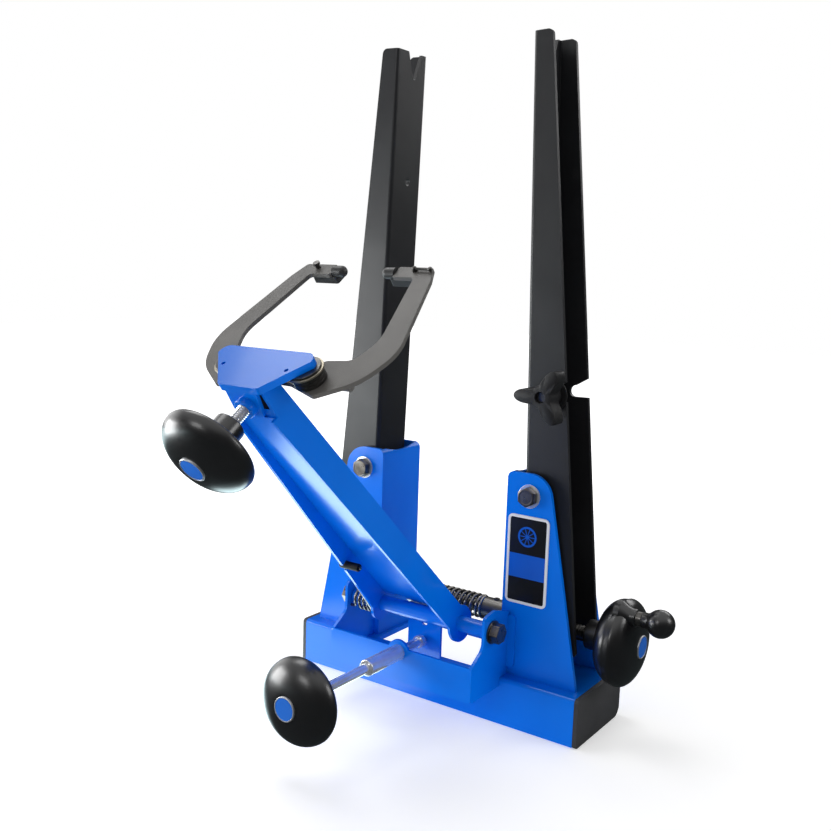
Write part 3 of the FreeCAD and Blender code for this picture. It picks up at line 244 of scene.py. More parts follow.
def addLamp(name, place, target, width, height, power):
    # soft rectangular lamp that faces its target
    lamp = bpy.data.objects.new(name, bpy.data.lights.new(name, "AREA"))
    lamp.data.shape = "RECTANGLE"
    lamp.data.size = width
    lamp.data.size_y = height
    lamp.data.energy = power
    way = Vector(target) - Vector(place)
    lamp.rotation_euler = way.to_track_quat("-Z", "Y").to_euler()
    lamp.location = place
    bpy.context.collection.objects.link(lamp)


makeCamera()
makeFloor()
makeSky()
bpy.context.scene.view_settings.view_transform = "Standard"
print("camera and room ready")

# finishes

finishes = {  # colour, darker tone, roughness, gloss, coat, scale of the peel and its strength
    "stoveBlue": ((0.0, 0.170, 0.80, 1), (0.0, 0.155, 0.75, 1), 0.20, 0.24, 0.18, 260, 0.03),
    "satinBlack": ((0.014, 0.015, 0.017, 1), (0.010, 0.010, 0.012, 1), 0.42, 0.45, 0.05, 1400, 0.12),
    "knobBlack": ((0.006, 0.006, 0.007, 1), (0.004, 0.004, 0.005, 1), 0.30, 0.8, 0.12, 120, 0.015),
    "starBlack": ((0.014, 0.014, 0.015, 1), (0.008, 0.008, 0.009, 1), 0.5, 0.35, 0.0, 2200, 0.2),
    "capGrey": ((0.045, 0.046, 0.050, 1), (0.032, 0.033, 0.036, 1), 0.62, 0.4, 0.0, 1800, 0.25),
    "caliperGrey": ((0.115, 0.110, 0.102, 1), (0.075, 0.072, 0.068, 1), 0.48, 0.5, 0.0, 2600, 0.3),
    "tipBlack": ((0.030, 0.030, 0.031, 1), (0.018, 0.018, 0.018, 1), 0.4, 0.5, 0.0, 1800, 0.15),
    "sleeveRubber": ((0.012, 0.012, 0.013, 1), (0.008, 0.008, 0.008, 1), 0.6, 0.3, 0.0, 1500, 0.15),
    "medallionBlue": ((0.004, 0.13, 0.58, 1), (0.003, 0.10, 0.48, 1), 0.3, 0.4, 0.3, 300, 0.02),
    "badgeBlue": ((0.002, 0.10, 0.58, 1), (0.002, 0.085, 0.50, 1), 0.3, 0.3, 0.2, 500, 0.02),
    "rimSilver": ((0.78, 0.79, 0.81, 1), (0.70, 0.71, 0.74, 1), 0.3, 0.6, 0.0, 900, 0.03),
    "badgeBlack": ((0.008, 0.008, 0.010, 1), (0.006, 0.006, 0.007, 1), 0.3, 0.3, 0.2, 500, 0.02),
}
metals = {  # colour, darker tone, share of metal, roughness, scale of the grain and its strength
    "zincBright": ((0.86, 0.87, 0.89, 1), (0.70, 0.71, 0.73, 1), 0.72, 0.16, 900, 0.05),
    "blackOxide": ((0.13, 0.125, 0.12, 1), (0.055, 0.053, 0.05, 1), 0.95, 0.30, 700, 0.08),
    "boltDark": ((0.20, 0.18, 0.16, 1), (0.07, 0.062, 0.055, 1), 0.95, 0.28, 600, 0.10),
    "springDark": ((0.30, 0.285, 0.26, 1), (0.12, 0.113, 0.105, 1), 0.95, 0.26, 500, 0.08),
    "silverRim": ((0.80, 0.81, 0.83, 1), (0.66, 0.67, 0.70, 1), 0.95, 0.40, 1200, 0.04),
    "washerBeige": ((0.42, 0.38, 0.30, 1), (0.30, 0.27, 0.21, 1), 0.95, 0.40, 900, 0.05),
}
paintPattern = {
    "toneScale": 18, "toneDetail": 3, "toneLow": 0.35, "toneHigh": 0.65, "patchScale": 45, "patchDetail": 4,
    "smooth": 0.85, "dull": 1.2, "peelDetail": 2, "peelHeight": 0.0006, "coatRough": 0.08,
}
metalPattern = {
    "toneScale": 90, "toneDetail": 5, "toneLow": 0.3, "toneHigh": 0.6, "grainDetail": 3,
    "smooth": 0.8, "dull": 1.35, "grainHeight": 0.0004,
}


def patternOn(tree, scale, detail):
    # noise that sits on the piece's own coordinates
    place = tree.nodes.new("ShaderNodeTexCoord").outputs["Object"]
    return addNode(tree, "ShaderNodeTexNoise", Vector=place, Scale=scale, Detail=detail).outputs["Fac"]


def tonedBy(tree, facts, dark, light):
    # colour that turns from a dark to a light tone with a broad pattern
    tone = joined(tree, "ShaderNodeValToRGB", patternOn(tree, facts["toneScale"], facts["toneDetail"]))
    for i, position, colour in ((0, facts["toneLow"], dark), (1, facts["toneHigh"], light)):
        tone.color_ramp.elements[i].position = position
        tone.color_ramp.elements[i].color = colour
    return tone.outputs[0]


def roughenedBy(tree, source, facts, rough):
    # roughness that spreads about its own value with a pattern
    low, high = rough * facts["smooth"], rough * facts["dull"]
    return addNode(tree, "ShaderNodeMapRange", Value=source, To_Min=low, To_Max=high).outputs[0]


def bumpFrom(tree, source, strength, distance):
    # small height from a pattern
    return addNode(tree, "ShaderNodeBump", Height=source, Strength=strength, Distance=distance).outputs[0]


def paintFinish(name):
    # paint or plastic: broad tone change, fine peel in the height, patchy gloss
    light, dark, rough, glossLevel, coat, peel, strength = finishes[name]
    facts = paintPattern
    material, tree = newMaterial(name)
    patches = patternOn(tree, facts["patchScale"], facts["patchDetail"])
    peels = patternOn(tree, peel, facts["peelDetail"])
    shader = addNode(
        tree, "ShaderNodeBsdfPrincipled", Base_Color=tonedBy(tree, facts, dark, light),
        Roughness=roughenedBy(tree, patches, facts, rough), Specular_IOR_Level=glossLevel, Coat_Weight=coat,
        Coat_Roughness=facts["coatRough"], Normal=bumpFrom(tree, peels, strength, facts["peelHeight"]),
    )
    joined(tree, "ShaderNodeOutputMaterial", shader.outputs[0])
    return material


def metalFinish(name):
    # bare or blackened metal: cloudy tone, fine grain in height and gloss
    light, dark, share, rough, scale, strength = metals[name]
    facts = metalPattern
    material, tree = newMaterial(name)
    grain = patternOn(tree, scale, facts["grainDetail"])
    shader = addNode(
        tree, "ShaderNodeBsdfPrincipled", Base_Color=tonedBy(tree, facts, dark, light), Metallic=share,
        Roughness=roughenedBy(tree, grain, facts, rough),
        Normal=bumpFrom(tree, grain, strength, facts["grainHeight"]),
    )
    joined(tree, "ShaderNodeOutputMaterial", shader.outputs[0])
    return material


looks = {name: paintFinish(name) for name in finishes}
looks.update({name: metalFinish(name) for name in metals})
print("finishes ready:", len(looks))

slotLooks = {  # record's slot to finish
    "frame_blue": "stoveBlue",
    "upright_black": "satinBlack",
    "cap_grey": "capGrey",
    "knob_black": "knobBlack",
    "star_plastic": "starBlack",
    "medallion_blue": "medallionBlue",
    "zinc_steel": "zincBright",
    "dark_steel": "blackOxide",
    "spring_steel": "springDark",
    "sleeve_rubber": "sleeveRubber",
    "caliper_grey": "caliperGrey",
    "tip_black": "tipBlack",
    "badge_plate": "silverRim",
}
ownLooks = {  # nodes whose finish differs from their slot's
    "arm_pivot_bolt": "boltDark",
    "arm_pivot_nut": "boltDark",
    "tower_bolt_left": "boltDark",
    "tower_bolt_right": "boltDark",
}
nodeSlot = {entry["node"]: entry["material_slot"] for entry in frame["record"]["subparts"]}
bodies = frame["record"]["behaviour"]["bodies"]
nodeBody = {node: body for body, members in bodies.items() for node in members}

for nodeName, nodeObject in nodes.items():
    nodeObject.data.materials.clear()
    nodeObject.data.materials.append(looks[ownLooks.get(nodeName, slotLooks[nodeSlot[nodeName]])])

# shared makers of surfaces

def newPiece(name, vertices, faces, look, sharp=35):
    # smooth mesh object at the origin with its normals facing out
    mesh = bpy.data.meshes.new(name)
    mesh.from_pydata([tuple(map(float, p)) for p in vertices], [], [tuple(map(int, f)) for f in faces])
    work = bmesh.new()
    work.from_mesh(mesh)
    bmesh.ops.recalc_face_normals(work, faces=work.faces)
    work.to_mesh(mesh)
    work.free()
    mesh.materials.append(looks[look])
    mesh.polygons.foreach_set("use_smooth", [True] * len(mesh.polygons))
    mesh.set_sharp_from_angle(angle=math.radians(sharp))
    piece = bpy.data.objects.new(name, mesh)
    bpy.context.collection.objects.link(piece)
    return piece


def attach(piece, nodeName, replace=True):
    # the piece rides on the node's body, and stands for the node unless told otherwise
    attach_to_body(piece, nodeBody[nodeName])
    if replace:
        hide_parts(nodeName)


def gridFaces(rows, columns, closedRows=False):
    # quads between neighbouring rows of a grid whose columns close on themselves
    r = np.arange(rows if closedRows else rows - 1)
    rr, cc = np.meshgrid(r, np.arange(columns), indexing="ij")
    nextRow = (rr + 1) % rows
    nextColumn = (cc + 1) % columns
    quads = np.stack([rr * columns + cc, rr * columns + nextColumn,
                      nextRow * columns + nextColumn, nextRow * columns + cc], axis=-1)
    return quads.reshape(-1, 4)


def crossAxes(axis):
    # two unit vectors square to the axis and to each other
    axis = np.asarray(axis, dtype=float)
    side = np.cross(axis, upZ if abs(axis[2]) < 0.8 else acrossX)
    side = side / np.linalg.norm(side)
    return side, np.cross(axis, side)


def ringTurn(around, side, other):
    # angles round a circle, and the unit vectors that they point to
    angle = np.arange(around) * 2 * math.pi / around
    return angle, np.cos(angle)[:, None] * side + np.sin(angle)[:, None] * other


def capped(rings, first=None, last=None):
    # rings of points joined to one skin, with a pole at each end that has one
    rows, columns = rings.shape[0], rings.shape[1]
    points = rings.reshape(-1, 3)
    faces = [tuple(face) for face in gridFaces(rows, columns)]
    for pole, row in ((first, 0), (last, rows - 1)):
        if pole is not None:
            points = np.vstack([points, pole])
            tip = len(points) - 1
            base = row * columns
            faces += [(base + i, base + (i + 1) % columns, tip) for i in range(columns)]
    return points, faces


def roundedLine(corners, steps=5):
    # open line of (along, radius, rounding) corners, each rounding drawn as an arc
    line = []
    for i, corner in enumerate(corners):
        here = np.array(corner[:2], dtype=float)
        rounding = corner[2] if len(corner) > 2 else 0
        if rounding == 0 or i in (0, len(corners) - 1):
            line.append(here)
            continue
        before = np.array(corners[i - 1][:2], dtype=float) - here
        after = np.array(corners[i + 1][:2], dtype=float) - here
        before /= np.linalg.norm(before)
        after /= np.linalg.norm(after)
        halfAngle = math.acos(max(-1.0, min(1.0, float(before @ after)))) / 2
        setback = rounding / math.tan(halfAngle)
        bisector = (before + after) / np.linalg.norm(before + after)
        centre = here + bisector * rounding / math.sin(halfAngle)
        start = here + before * setback - centre
        finish = here + after * setback - centre
        sweep = math.pi - 2 * halfAngle
        for k in range(steps + 1):
            share = k / steps
            a = math.sin((1 - share) * sweep) / math.sin(sweep)
            b = math.sin(share * sweep) / math.sin(sweep)
            line.append(centre + start * a + finish * b)
    return np.array(line)


def turned(name, line, start, axis, look, around):
    # surface of revolution of a line of (along, radius) in millimetres, with poles where it meets the axis
    start = np.asarray(start, dtype=float)
    axis = np.asarray(axis, dtype=float)
    side, other = crossAxes(axis)
    line = np.asarray(line, dtype=float)[:, :2]
    first = last = None
    closed = np.allclose(line[0], line[-1])
    if closed:
        line = line[:-1]
    else:
        if line[0][1] < 1e-6:
            first = start + axis * line[0][0] * mm
            line = line[1:]
        if line[-1][1] < 1e-6:
            last = start + axis * line[-1][0] * mm
            line = line[:-1]
    _, turn = ringTurn(around, side, other)
    rings = start + (line[:, 0, None, None] * axis + line[:, 1, None, None] * turn) * mm
    if closed:
        return newPiece(name, rings.reshape(-1, 3), gridFaces(len(line), around, True), look)
    points, faces = capped(rings, first, last)
    return newPiece(name, points, faces, look)


def attachTurned(nodeName, name, line, start, axis, look, around, replace=True):
    # turned piece that rides on a node's body
    attach(turned(name, line, start, axis, look, around), nodeName, replace)


thread = {"rowsPerPitch": 8, "slope": 1.4, "crest": 0.2}


def threaded(name, start, axis, length, radius, pitch, depth, hand, look, around=36):
    # bar whose radius drops by the depth in a triangle wave of along over pitch less turn over a circle
    axis = np.asarray(axis, dtype=float)
    side, other = crossAxes(axis)
    rows = int(length / pitch * thread["rowsPerPitch"]) + 1
    along = np.linspace(0, length, rows)
    angle, turn = ringTurn(around, side, other)
    phase = (along[:, None] / pitch - hand * angle[None, :] / (2 * math.pi)) % 1.0
    wave = np.abs(2 * phase - 1)
    fade = np.minimum(along, length - along)[:, None] / pitch
    cut = np.clip(thread["slope"] * wave - thread["crest"], 0, 1)
    reach = radius - depth * np.maximum(cut, np.clip(1 - fade, 0, 1))
    rings = start + (along[:, None, None] * axis + reach[:, :, None] * turn[None, :, :]) * mm
    points, faces = capped(rings, start, start + axis * length * mm)
    return newPiece(name, points, faces, look)


def easeBetween(first, firstWay, last, lastWay, steps):
    # cubic that leaves one point along its way and arrives at the other along its own
    share = np.linspace(0, 1, steps + 1)[1:, None]
    span = np.linalg.norm(last - first)
    return (
        (2 * share**3 - 3 * share**2 + 1) * first + (share**3 - 2 * share**2 + share) * firstWay * span
        + (3 * share**2 - 2 * share**3) * last + (share**3 - share**2) * lastWay * span
    )


def wire(name, route, radius, look, around=14):
    # round wire along a route of points, its section carried along without twist
    route = np.asarray(route, dtype=float)
    ways = np.gradient(route, axis=0)
    ways /= np.linalg.norm(ways, axis=1)[:, None]
    side, _ = crossAxes(ways[0])
    rings = []
    for point, way in zip(route, ways):
        side = side - way * float(side @ way)
        side /= np.linalg.norm(side)
        _, turn = ringTurn(around, side, np.cross(way, side))
        rings.append(point + radius * mm * turn)
    points, faces = capped(np.array(rings), route[0], route[-1])
    return newPiece(name, points, faces, look)


softening = {"join": 2e-6, "flat": math.radians(1.0), "sharp": math.radians(28), "segments": 2, "weight": 60}


def softened(nodeName, width):
    # copy of a node with its loose triangles joined, flat faces merged and edges rounded
    mesh = nodes[nodeName].data.copy()
    work = bmesh.new()
    work.from_mesh(mesh)
    bmesh.ops.remove_doubles(work, verts=work.verts, dist=softening["join"])
    bmesh.ops.dissolve_limit(work, angle_limit=softening["flat"], verts=work.verts, edges=work.edges)
    bmesh.ops.recalc_face_normals(work, faces=work.faces)
    work.to_mesh(mesh)
    work.free()
    piece = bpy.data.objects.new(nodeName + "_soft", mesh)
    bpy.context.collection.objects.link(piece)
    mesh.polygons.foreach_set("use_smooth", [True] * len(mesh.polygons))
    bevel = piece.modifiers.new("edges", "BEVEL")
    bevel.width = width
    bevel.segments = softening["segments"]
    bevel.limit_method = "ANGLE"
    bevel.angle_limit = softening["sharp"]
    bevel.use_clamp_overlap = True
    weigh = piece.modifiers.new("normals", "WEIGHTED_NORMAL")
    weigh.mode = "FACE_AREA"
    weigh.weight = softening["weight"]
    attach(piece, nodeName)


# sheet metal and moulded pieces, with the rounding of their edges

edgeWidths = {  # a star stands for left and right
    "base_frame": 0.9, "tower_*": 0.8, "pivot_bracket": 0.7, "support_arm": 0.6, "head_plate": 0.7,
    "upright_*": 0.7, "end_cap_*": 1.0, "caliper_arm_*": 0.5, "caliper_tip_*": 0.5, "tower_bolt_*": 0.3,
    "tower_nut_*": 0.4, "tower_washer_*": 0.3, "arm_pivot_bolt": 0.4, "arm_pivot_nut": 0.4, "star_nut": 0.3,
    "star_stud": 0.3, "spindle_collar_*": 0.5, "collar_screw_*": 0.15, "pivot_tube": 0.3,
    "spindle_nut_*": 0.4, "caliper_pivot_*": 0.3, "tower_spacer_front_*": 0.4, "tower_spacer_rear_*": 0.4,
    "tip_screw_left": 0.2, "tip_screw_right": 0.15,
}
for pattern, width in edgeWidths.items():
    for side in ("left", "right") if "*" in pattern else ("",):
        softened(pattern.replace("*", side), width * mm)
print("edges rounded:", len(edgeWidths))


# hexagon heads of the tower bolts, with the round chamfer of a forged head

hexHead = {
    "x": 76.06, "z": 174.3, "foot": -27.0, "height": 5.4, "flats": 12.8, "crown": 5.9, "collar": 0.5,
    "lip": 0.8, "dishEdge": 1.1, "dish": 0.25, "chamfer": math.radians(30), "around": 72, "sharp": 24,
}


def makeHexHead(name, side):
    # rings of the hexagon, cut by a cone towards the crown, with a shallow dish in the top
    facts = hexHead
    angle, turn = ringTurn(facts["around"], acrossX, upZ)
    corner = (angle + math.pi / 6) % (math.pi / 3) - math.pi / 6
    hexagon = facts["flats"] / 2 / np.cos(corner)
    circle = np.full(facts["around"], facts["crown"])
    chamfer = facts["height"] - (hexagon - facts["crown"]) * math.tan(facts["chamfer"])
    top = facts["height"]
    dish = top - facts["dish"]
    rows = [(0, circle), (facts["collar"], circle), (facts["collar"], hexagon), (chamfer, hexagon),
            (top, circle), (top, circle - facts["lip"]), (dish, circle - facts["dishEdge"])]
    foot = spot(side * facts["x"], facts["foot"], facts["z"])
    flat = np.zeros(facts["around"])
    rings = np.array([foot + (reach[:, None] * turn - (flat + along)[:, None] * backY) * mm
                      for along, reach in rows])
    points, faces = capped(rings, foot, foot - backY * dish * mm)
    piece = newPiece("tower_bolt_head_" + name, points, faces, "boltDark", facts["sharp"])
    attach(piece, "tower_bolt_" + name, replace=False)


makeHexHead("right", 1)
makeHexHead("left", -1)


# side gussets behind the lip of the head, which close the gap beside the bush; they are black for painted
# shade in that gap, not the head's blue

gusset = {"inner": 8.3, "outer": 10.6, "front": -131.0, "back": -116.5, "low": -8.6, "high": 12.6}


def makeShadeGusset(name, side):
    # flat plate square to the lip, in satin black as painted shade
    points = [atHead(side * u, w, h) for u in (gusset["inner"], gusset["outer"])
              for w in (gusset["front"], gusset["back"]) for h in (gusset["low"], gusset["high"])]
    faces = [(0, 1, 3, 2), (4, 6, 7, 5), (0, 4, 5, 1), (2, 3, 7, 6), (0, 2, 6, 4), (1, 5, 7, 3)]
    attach(newPiece("lip_shade_gusset_" + name, points, faces, "satinBlack"), "head_plate", replace=False)


makeShadeGusset("right", 1)
makeShadeGusset("left", -1)
print("bolt heads and gussets made")


# star knob with three slim lobes, its boss, and a washer against the flange

star = {
    "x": 87.1, "z": 248.69, "front": -39.18, "back": -25.68, "flange": -19.18, "waist": 8.4, "reach": 21.4,
    "slimness": 2.5, "hole": 3.9, "holeDepth": 3.2, "holeEdge": 0.3, "edge": 1.3, "edgeShare": 0.3,
    "backEdge": 0.5, "bossRadius": 7.5, "bossInside": 1.0, "washerRadius": 11.6, "washerThickness": 1.3,
    "washerEdge": 0.3, "washerSeat": 0.15, "around": 144, "bossAround": 56, "sharp": 40,
}


def makeStar():
    # outline whose radius swells to three lobes as a power of a cosine, hollowed round the stud
    facts = star
    angle, turn = ringTurn(facts["around"], acrossX, upZ)
    swell = ((1 + np.cos(3 * (angle - math.pi))) / 2) ** facts["slimness"]
    outline = facts["waist"] + (facts["reach"] - facts["waist"]) * swell
    circle = np.full(facts["around"], facts["hole"])
    front, back, edge = facts["front"], facts["back"], facts["edge"]
    slope = facts["edgeShare"] * edge
    rim, deep = facts["holeEdge"], front + facts["holeDepth"]
    rows = [
        (back, outline - facts["backEdge"]), (back - facts["backEdge"], outline), (front + edge, outline),
        (front + slope, outline - slope), (front, outline - edge),
        (front, circle + rim), (front + rim, circle), (deep, circle - rim),
    ]
    rings = np.array([spot(facts["x"], y, facts["z"]) + reach[:, None] * turn * mm for y, reach in rows])
    points, faces = capped(rings, spot(facts["x"], back, facts["z"]), spot(facts["x"], deep, facts["z"]))
    attach(newPiece("star_lobes", points, faces, "starBlack", facts["sharp"]), "star_knob")
    foot = facts["flange"] - facts["washerThickness"]
    seat = facts["flange"] - facts["washerSeat"]
    inside, radius, wide = back - facts["bossInside"], facts["bossRadius"], facts["washerRadius"]
    boss = roundedLine([(inside, 0), (inside, radius), (foot, radius), (foot, wide, facts["washerEdge"]),
                        (seat, wide, facts["washerEdge"]), (seat, 0)], 4)
    place = spot(facts["x"], 0, facts["z"])
    around = facts["bossAround"]
    attachTurned("star_knob", "star_boss", boss, place, backY, "starBlack", around, replace=False)


makeStar()
print("star made")


# knobs, each a line turned round its screw, hollow where the screw sits

ballKnob = {
    "hubRadius": 9.5, "hubLength": 9.0, "hubEdge": 1.0, "neck": 4.0, "neckRise": 2.2, "coneEnd": 18.6,
    "coneEdge": 2.2, "coneInset": 0.7, "rimRadius": 30.0, "rimMiddle": 20.6, "rimGap": 0.01, "domeTop": 37.0,
    "domePower": 2.15, "domeSteps": 48, "socket": 9.05, "clearance": 0.05, "recess": 36.1,
    "recessRadius": 8.55, "around": 96,
}
medallion = {
    "radius": 8.45, "height": 1.35, "edge": 0.35, "lip": 7.6, "lipEdge": 0.1, "floor": 1.15,
    "floorRadius": 7.55, "face": 1.17, "faceFoot": 1.16, "faceRadius": 7.5, "dome": 0.3, "steps": 10,
    "around": 64,
}
radialKnobStart = -164.0
caliperKnobStart = -150.0


def domeLine(low, high, radius, innerRadius, steps, power=2.0):
    # quarter of a squarish oval from the rim towards the top, stopped where the medallion's recess begins
    line = []
    for k in range(steps + 1):
        angle = k / steps * math.pi / 2
        reach = radius * math.cos(angle) ** (2 / power)
        if reach < innerRadius:
            break
        line.append((low + (high - low) * math.sin(angle) ** (2 / power), reach))
    line.append((line[-1][0], innerRadius))
    return line


def makeBallKnob(name, start, axis, screwRadius):
    # socket, hub, hollow neck, cone to the rim, and a dome with a recess for the medallion
    facts = ballKnob
    bore = screwRadius + facts["clearance"]
    back = roundedLine([
        (facts["socket"], 0), (facts["socket"], bore), (0, bore), (0, facts["hubRadius"], facts["hubEdge"]),
        (facts["hubLength"] + facts["neckRise"], facts["hubRadius"], facts["neck"]),
        (facts["coneEnd"], facts["rimRadius"] - facts["coneInset"], facts["coneEdge"]),
        (facts["rimMiddle"] + facts["rimGap"], facts["rimRadius"]),
    ], 8)
    dome = domeLine(facts["rimMiddle"], facts["domeTop"], facts["rimRadius"], facts["recessRadius"],
                    facts["domeSteps"], facts["domePower"])
    recess = [(facts["recess"], facts["recessRadius"]), (facts["recess"], 0)]
    line = [tuple(p) for p in back[:-1]] + dome + recess
    attachTurned(name, name + "_turned", line, start, axis, "knobBlack", facts["around"])


def makeMedallion(name, start, axis):
    # thin domed disc with a silver edge, no lettering
    facts = medallion
    rim = roundedLine([
        (0, 0), (0, facts["radius"]), (facts["height"], facts["radius"], facts["edge"]),
        (facts["height"], facts["lip"], facts["lipEdge"]), (facts["floor"], facts["floorRadius"]),
        (facts["floor"], 0),
    ], 4)
    attachTurned(name, name + "_rim", rim, start, axis, "silverRim", facts["around"])
    face = [(facts["faceFoot"], 0), (facts["faceFoot"], facts["faceRadius"])]
    for k in range(facts["steps"], -1, -1):
        angle = k / facts["steps"] * math.pi / 2
        face.append((facts["face"] + facts["dome"] * math.cos(angle), facts["faceRadius"] * math.sin(angle)))
    attachTurned(name, name + "_face", face, start, axis, "medallionBlue", facts["around"], replace=False)


screws = {
    "spindleRadius": 5.0, "spindleNeck": 4.2, "spindleMiddle": 62.0, "neckStart": 60.0, "threadStart": 61.5,
    "threadEndRight": 121.0, "threadEndLeft": 98.0, "spindlePitch": 2.0, "spindleDepth": 0.75,
    "caliperStart": -159.0, "caliperLength": 47.6, "caliperRadius": 4.0, "caliperPitch": 1.5,
    "caliperDepth": 0.75, "radialStart": -173.0, "radialRadius": 3.5, "radialNose": 4.8, "noseStart": -51.5,
    "noseStep": 0.05, "noseTip": -43.55, "noseSteps": 12, "clearance": 0.05,
}

makeBallKnob("radial_knob", spot(0, radialKnobStart, radialHeight), -backY, screws["radialRadius"])
makeMedallion("radial_medallion", spot(0, radialKnobStart - ballKnob["recess"], radialHeight), -backY)
makeBallKnob("caliper_knob", atHead(0, caliperKnobStart, 0), -headWay, screws["caliperRadius"])
makeMedallion("caliper_medallion", atHead(0, caliperKnobStart - ballKnob["recess"], 0), -headWay)

crank = {
    "start": 117.0, "bore": 5.0, "hubRadius": 11.0, "hubEdge": 1.0, "hubEnd": 128.0, "rimStart": 142.0,
    "rimMiddle": 144.5, "rimRadius": 32.0, "backInset": 0.8, "backSteps": 24, "face": 158.5, "domeSteps": 48,
    "domePower": 2.1, "boreEnd": 121.0, "clearance": 0.05, "recess": 157.6, "recessRadius": 8.55,
    "around": 112,
}


crankGrip = {
    "y": -9.0, "z": 96.5, "bossEnd": 157.0, "bossRadius": 6.4, "bossFoot": 10.4, "flareStart": 146.0,
    "flareLength": 8.4, "flareSteps": 12, "bossNeck": 155.0, "bossEdge": 0.6, "bossDepth": 1.0,
    "bossBore": 5.25, "bossAround": 64, "pinStart": 146.0, "pinRadius": 5.2, "pinStep": 161.0,
    "stemRadius": 3.2, "pinEnd": 179.0, "pinEdge": 0.4, "pinAround": 48, "ballX": 174.0, "ballRadius": 10.0,
    "ballBore": 3.25, "ballBoreEnd": 179.1, "ballFoot": 161.06, "collarRadius": 5.6, "collarEdge": 0.5,
    "collarEnd": 164.8, "ballNeck": 6.6, "ballSteps": 40, "ballAround": 80,
}


def makeCrank():
    # hub, back that bulges to the rim in a quarter ellipse, dome, and the recess for the medallion
    facts = crank
    boreEnd = facts["boreEnd"] + facts["clearance"]
    line = [(boreEnd, 0), (boreEnd, facts["bore"])]
    line += [tuple(p) for p in roundedLine([
        (facts["start"], facts["bore"]), (facts["start"], facts["hubRadius"], facts["hubEdge"]),
        (facts["hubEnd"], facts["hubRadius"])], 5)]
    for k in range(1, facts["backSteps"] + 1):
        angle = k / facts["backSteps"] * math.pi / 2
        rise = facts["rimRadius"] - facts["backInset"] - facts["hubRadius"]
        line.append((facts["hubEnd"] + (facts["rimStart"] - facts["hubEnd"]) * (1 - math.cos(angle)),
                     facts["hubRadius"] + rise * math.sin(angle)))
    line += domeLine(facts["rimMiddle"], facts["face"], facts["rimRadius"], facts["recessRadius"],
                     facts["domeSteps"], facts["domePower"])
    line += [(facts["recess"], facts["recessRadius"]), (facts["recess"], 0)]
    place = spot(0, 0, spindleHeight)
    attachTurned("crank_knob", "crank_knob_turned", line, place, acrossX, "knobBlack", facts["around"])


def makeCrankGrip():
    # flared boss on the crank's face, the pin in it, and the ball that spins on the pin
    facts = crankGrip
    start = spot(0, facts["y"], facts["z"])
    boss = [(crank["rimStart"], 0), (crank["rimStart"], facts["bossFoot"])]
    for k in range(facts["flareSteps"] + 1):
        share = k / facts["flareSteps"]
        drop = (facts["bossFoot"] - facts["bossRadius"]) * math.sin(share * math.pi / 2)
        boss.append((facts["flareStart"] + facts["flareLength"] * share, facts["bossFoot"] - drop))
    boss += [tuple(p) for p in roundedLine([
        (facts["bossNeck"], facts["bossRadius"]), (facts["bossEnd"], facts["bossRadius"], facts["bossEdge"]),
        (facts["bossEnd"], facts["bossBore"])], 4)[1:]]
    floor = facts["bossEnd"] - facts["bossDepth"]
    boss += [(floor, facts["bossBore"]), (floor, 0)]
    around = facts["bossAround"]
    attachTurned("crank_knob", "crank_boss", boss, start, acrossX, "knobBlack", around, replace=False)
    foot, radius, step = facts["pinStart"], facts["pinRadius"], facts["pinStep"]
    stem, end, edge = facts["stemRadius"], facts["pinEnd"], facts["pinEdge"]
    pin = roundedLine([(foot, 0), (foot, radius), (step, radius, edge), (step, stem), (end, stem, edge),
                       (end, 0)], 4)
    attachTurned("crank_pin", "crank_pin_turned", pin, start, acrossX, "blackOxide", facts["pinAround"])
    foot = facts["ballFoot"]
    ball = [(facts["ballBoreEnd"], 0), (facts["ballBoreEnd"], facts["ballBore"]), (foot, facts["ballBore"])]
    ball += [tuple(p) for p in roundedLine([
        (foot, facts["ballBore"]), (foot, facts["collarRadius"], facts["collarEdge"]),
        (facts["collarEnd"], facts["collarRadius"])], 4)[1:]]
    radius = facts["ballRadius"]
    begin = math.pi - math.asin(facts["ballNeck"] / radius)
    for k in range(facts["ballSteps"] + 1):
        angle = begin * (1 - k / facts["ballSteps"])
        ball.append((facts["ballX"] + radius * math.cos(angle), radius * math.sin(angle)))
    attachTurned("crank_ball", "crank_ball_turned", ball, start, acrossX, "knobBlack", facts["ballAround"])


makeCrank()
makeCrankGrip()
makeMedallion("crank_medallion", spot(crank["recess"], 0, spindleHeight), acrossX)
print("knobs turned")


# screws, bushes and springs

bushes = {
    "radialFront": -116.0, "radialRadius": 6.0, "radialEdge": 0.9, "flange": -75.0, "flangeRadius": 8.2,
    "flangeEdge": 0.3, "radialBack": -73.0, "radialAround": 56, "caliperFront": -137.5, "caliperBack": -126.5,
    "caliperBore": 4.05, "caliperRadius": 6.8, "caliperEdge": 0.5, "caliperAround": 48,
}


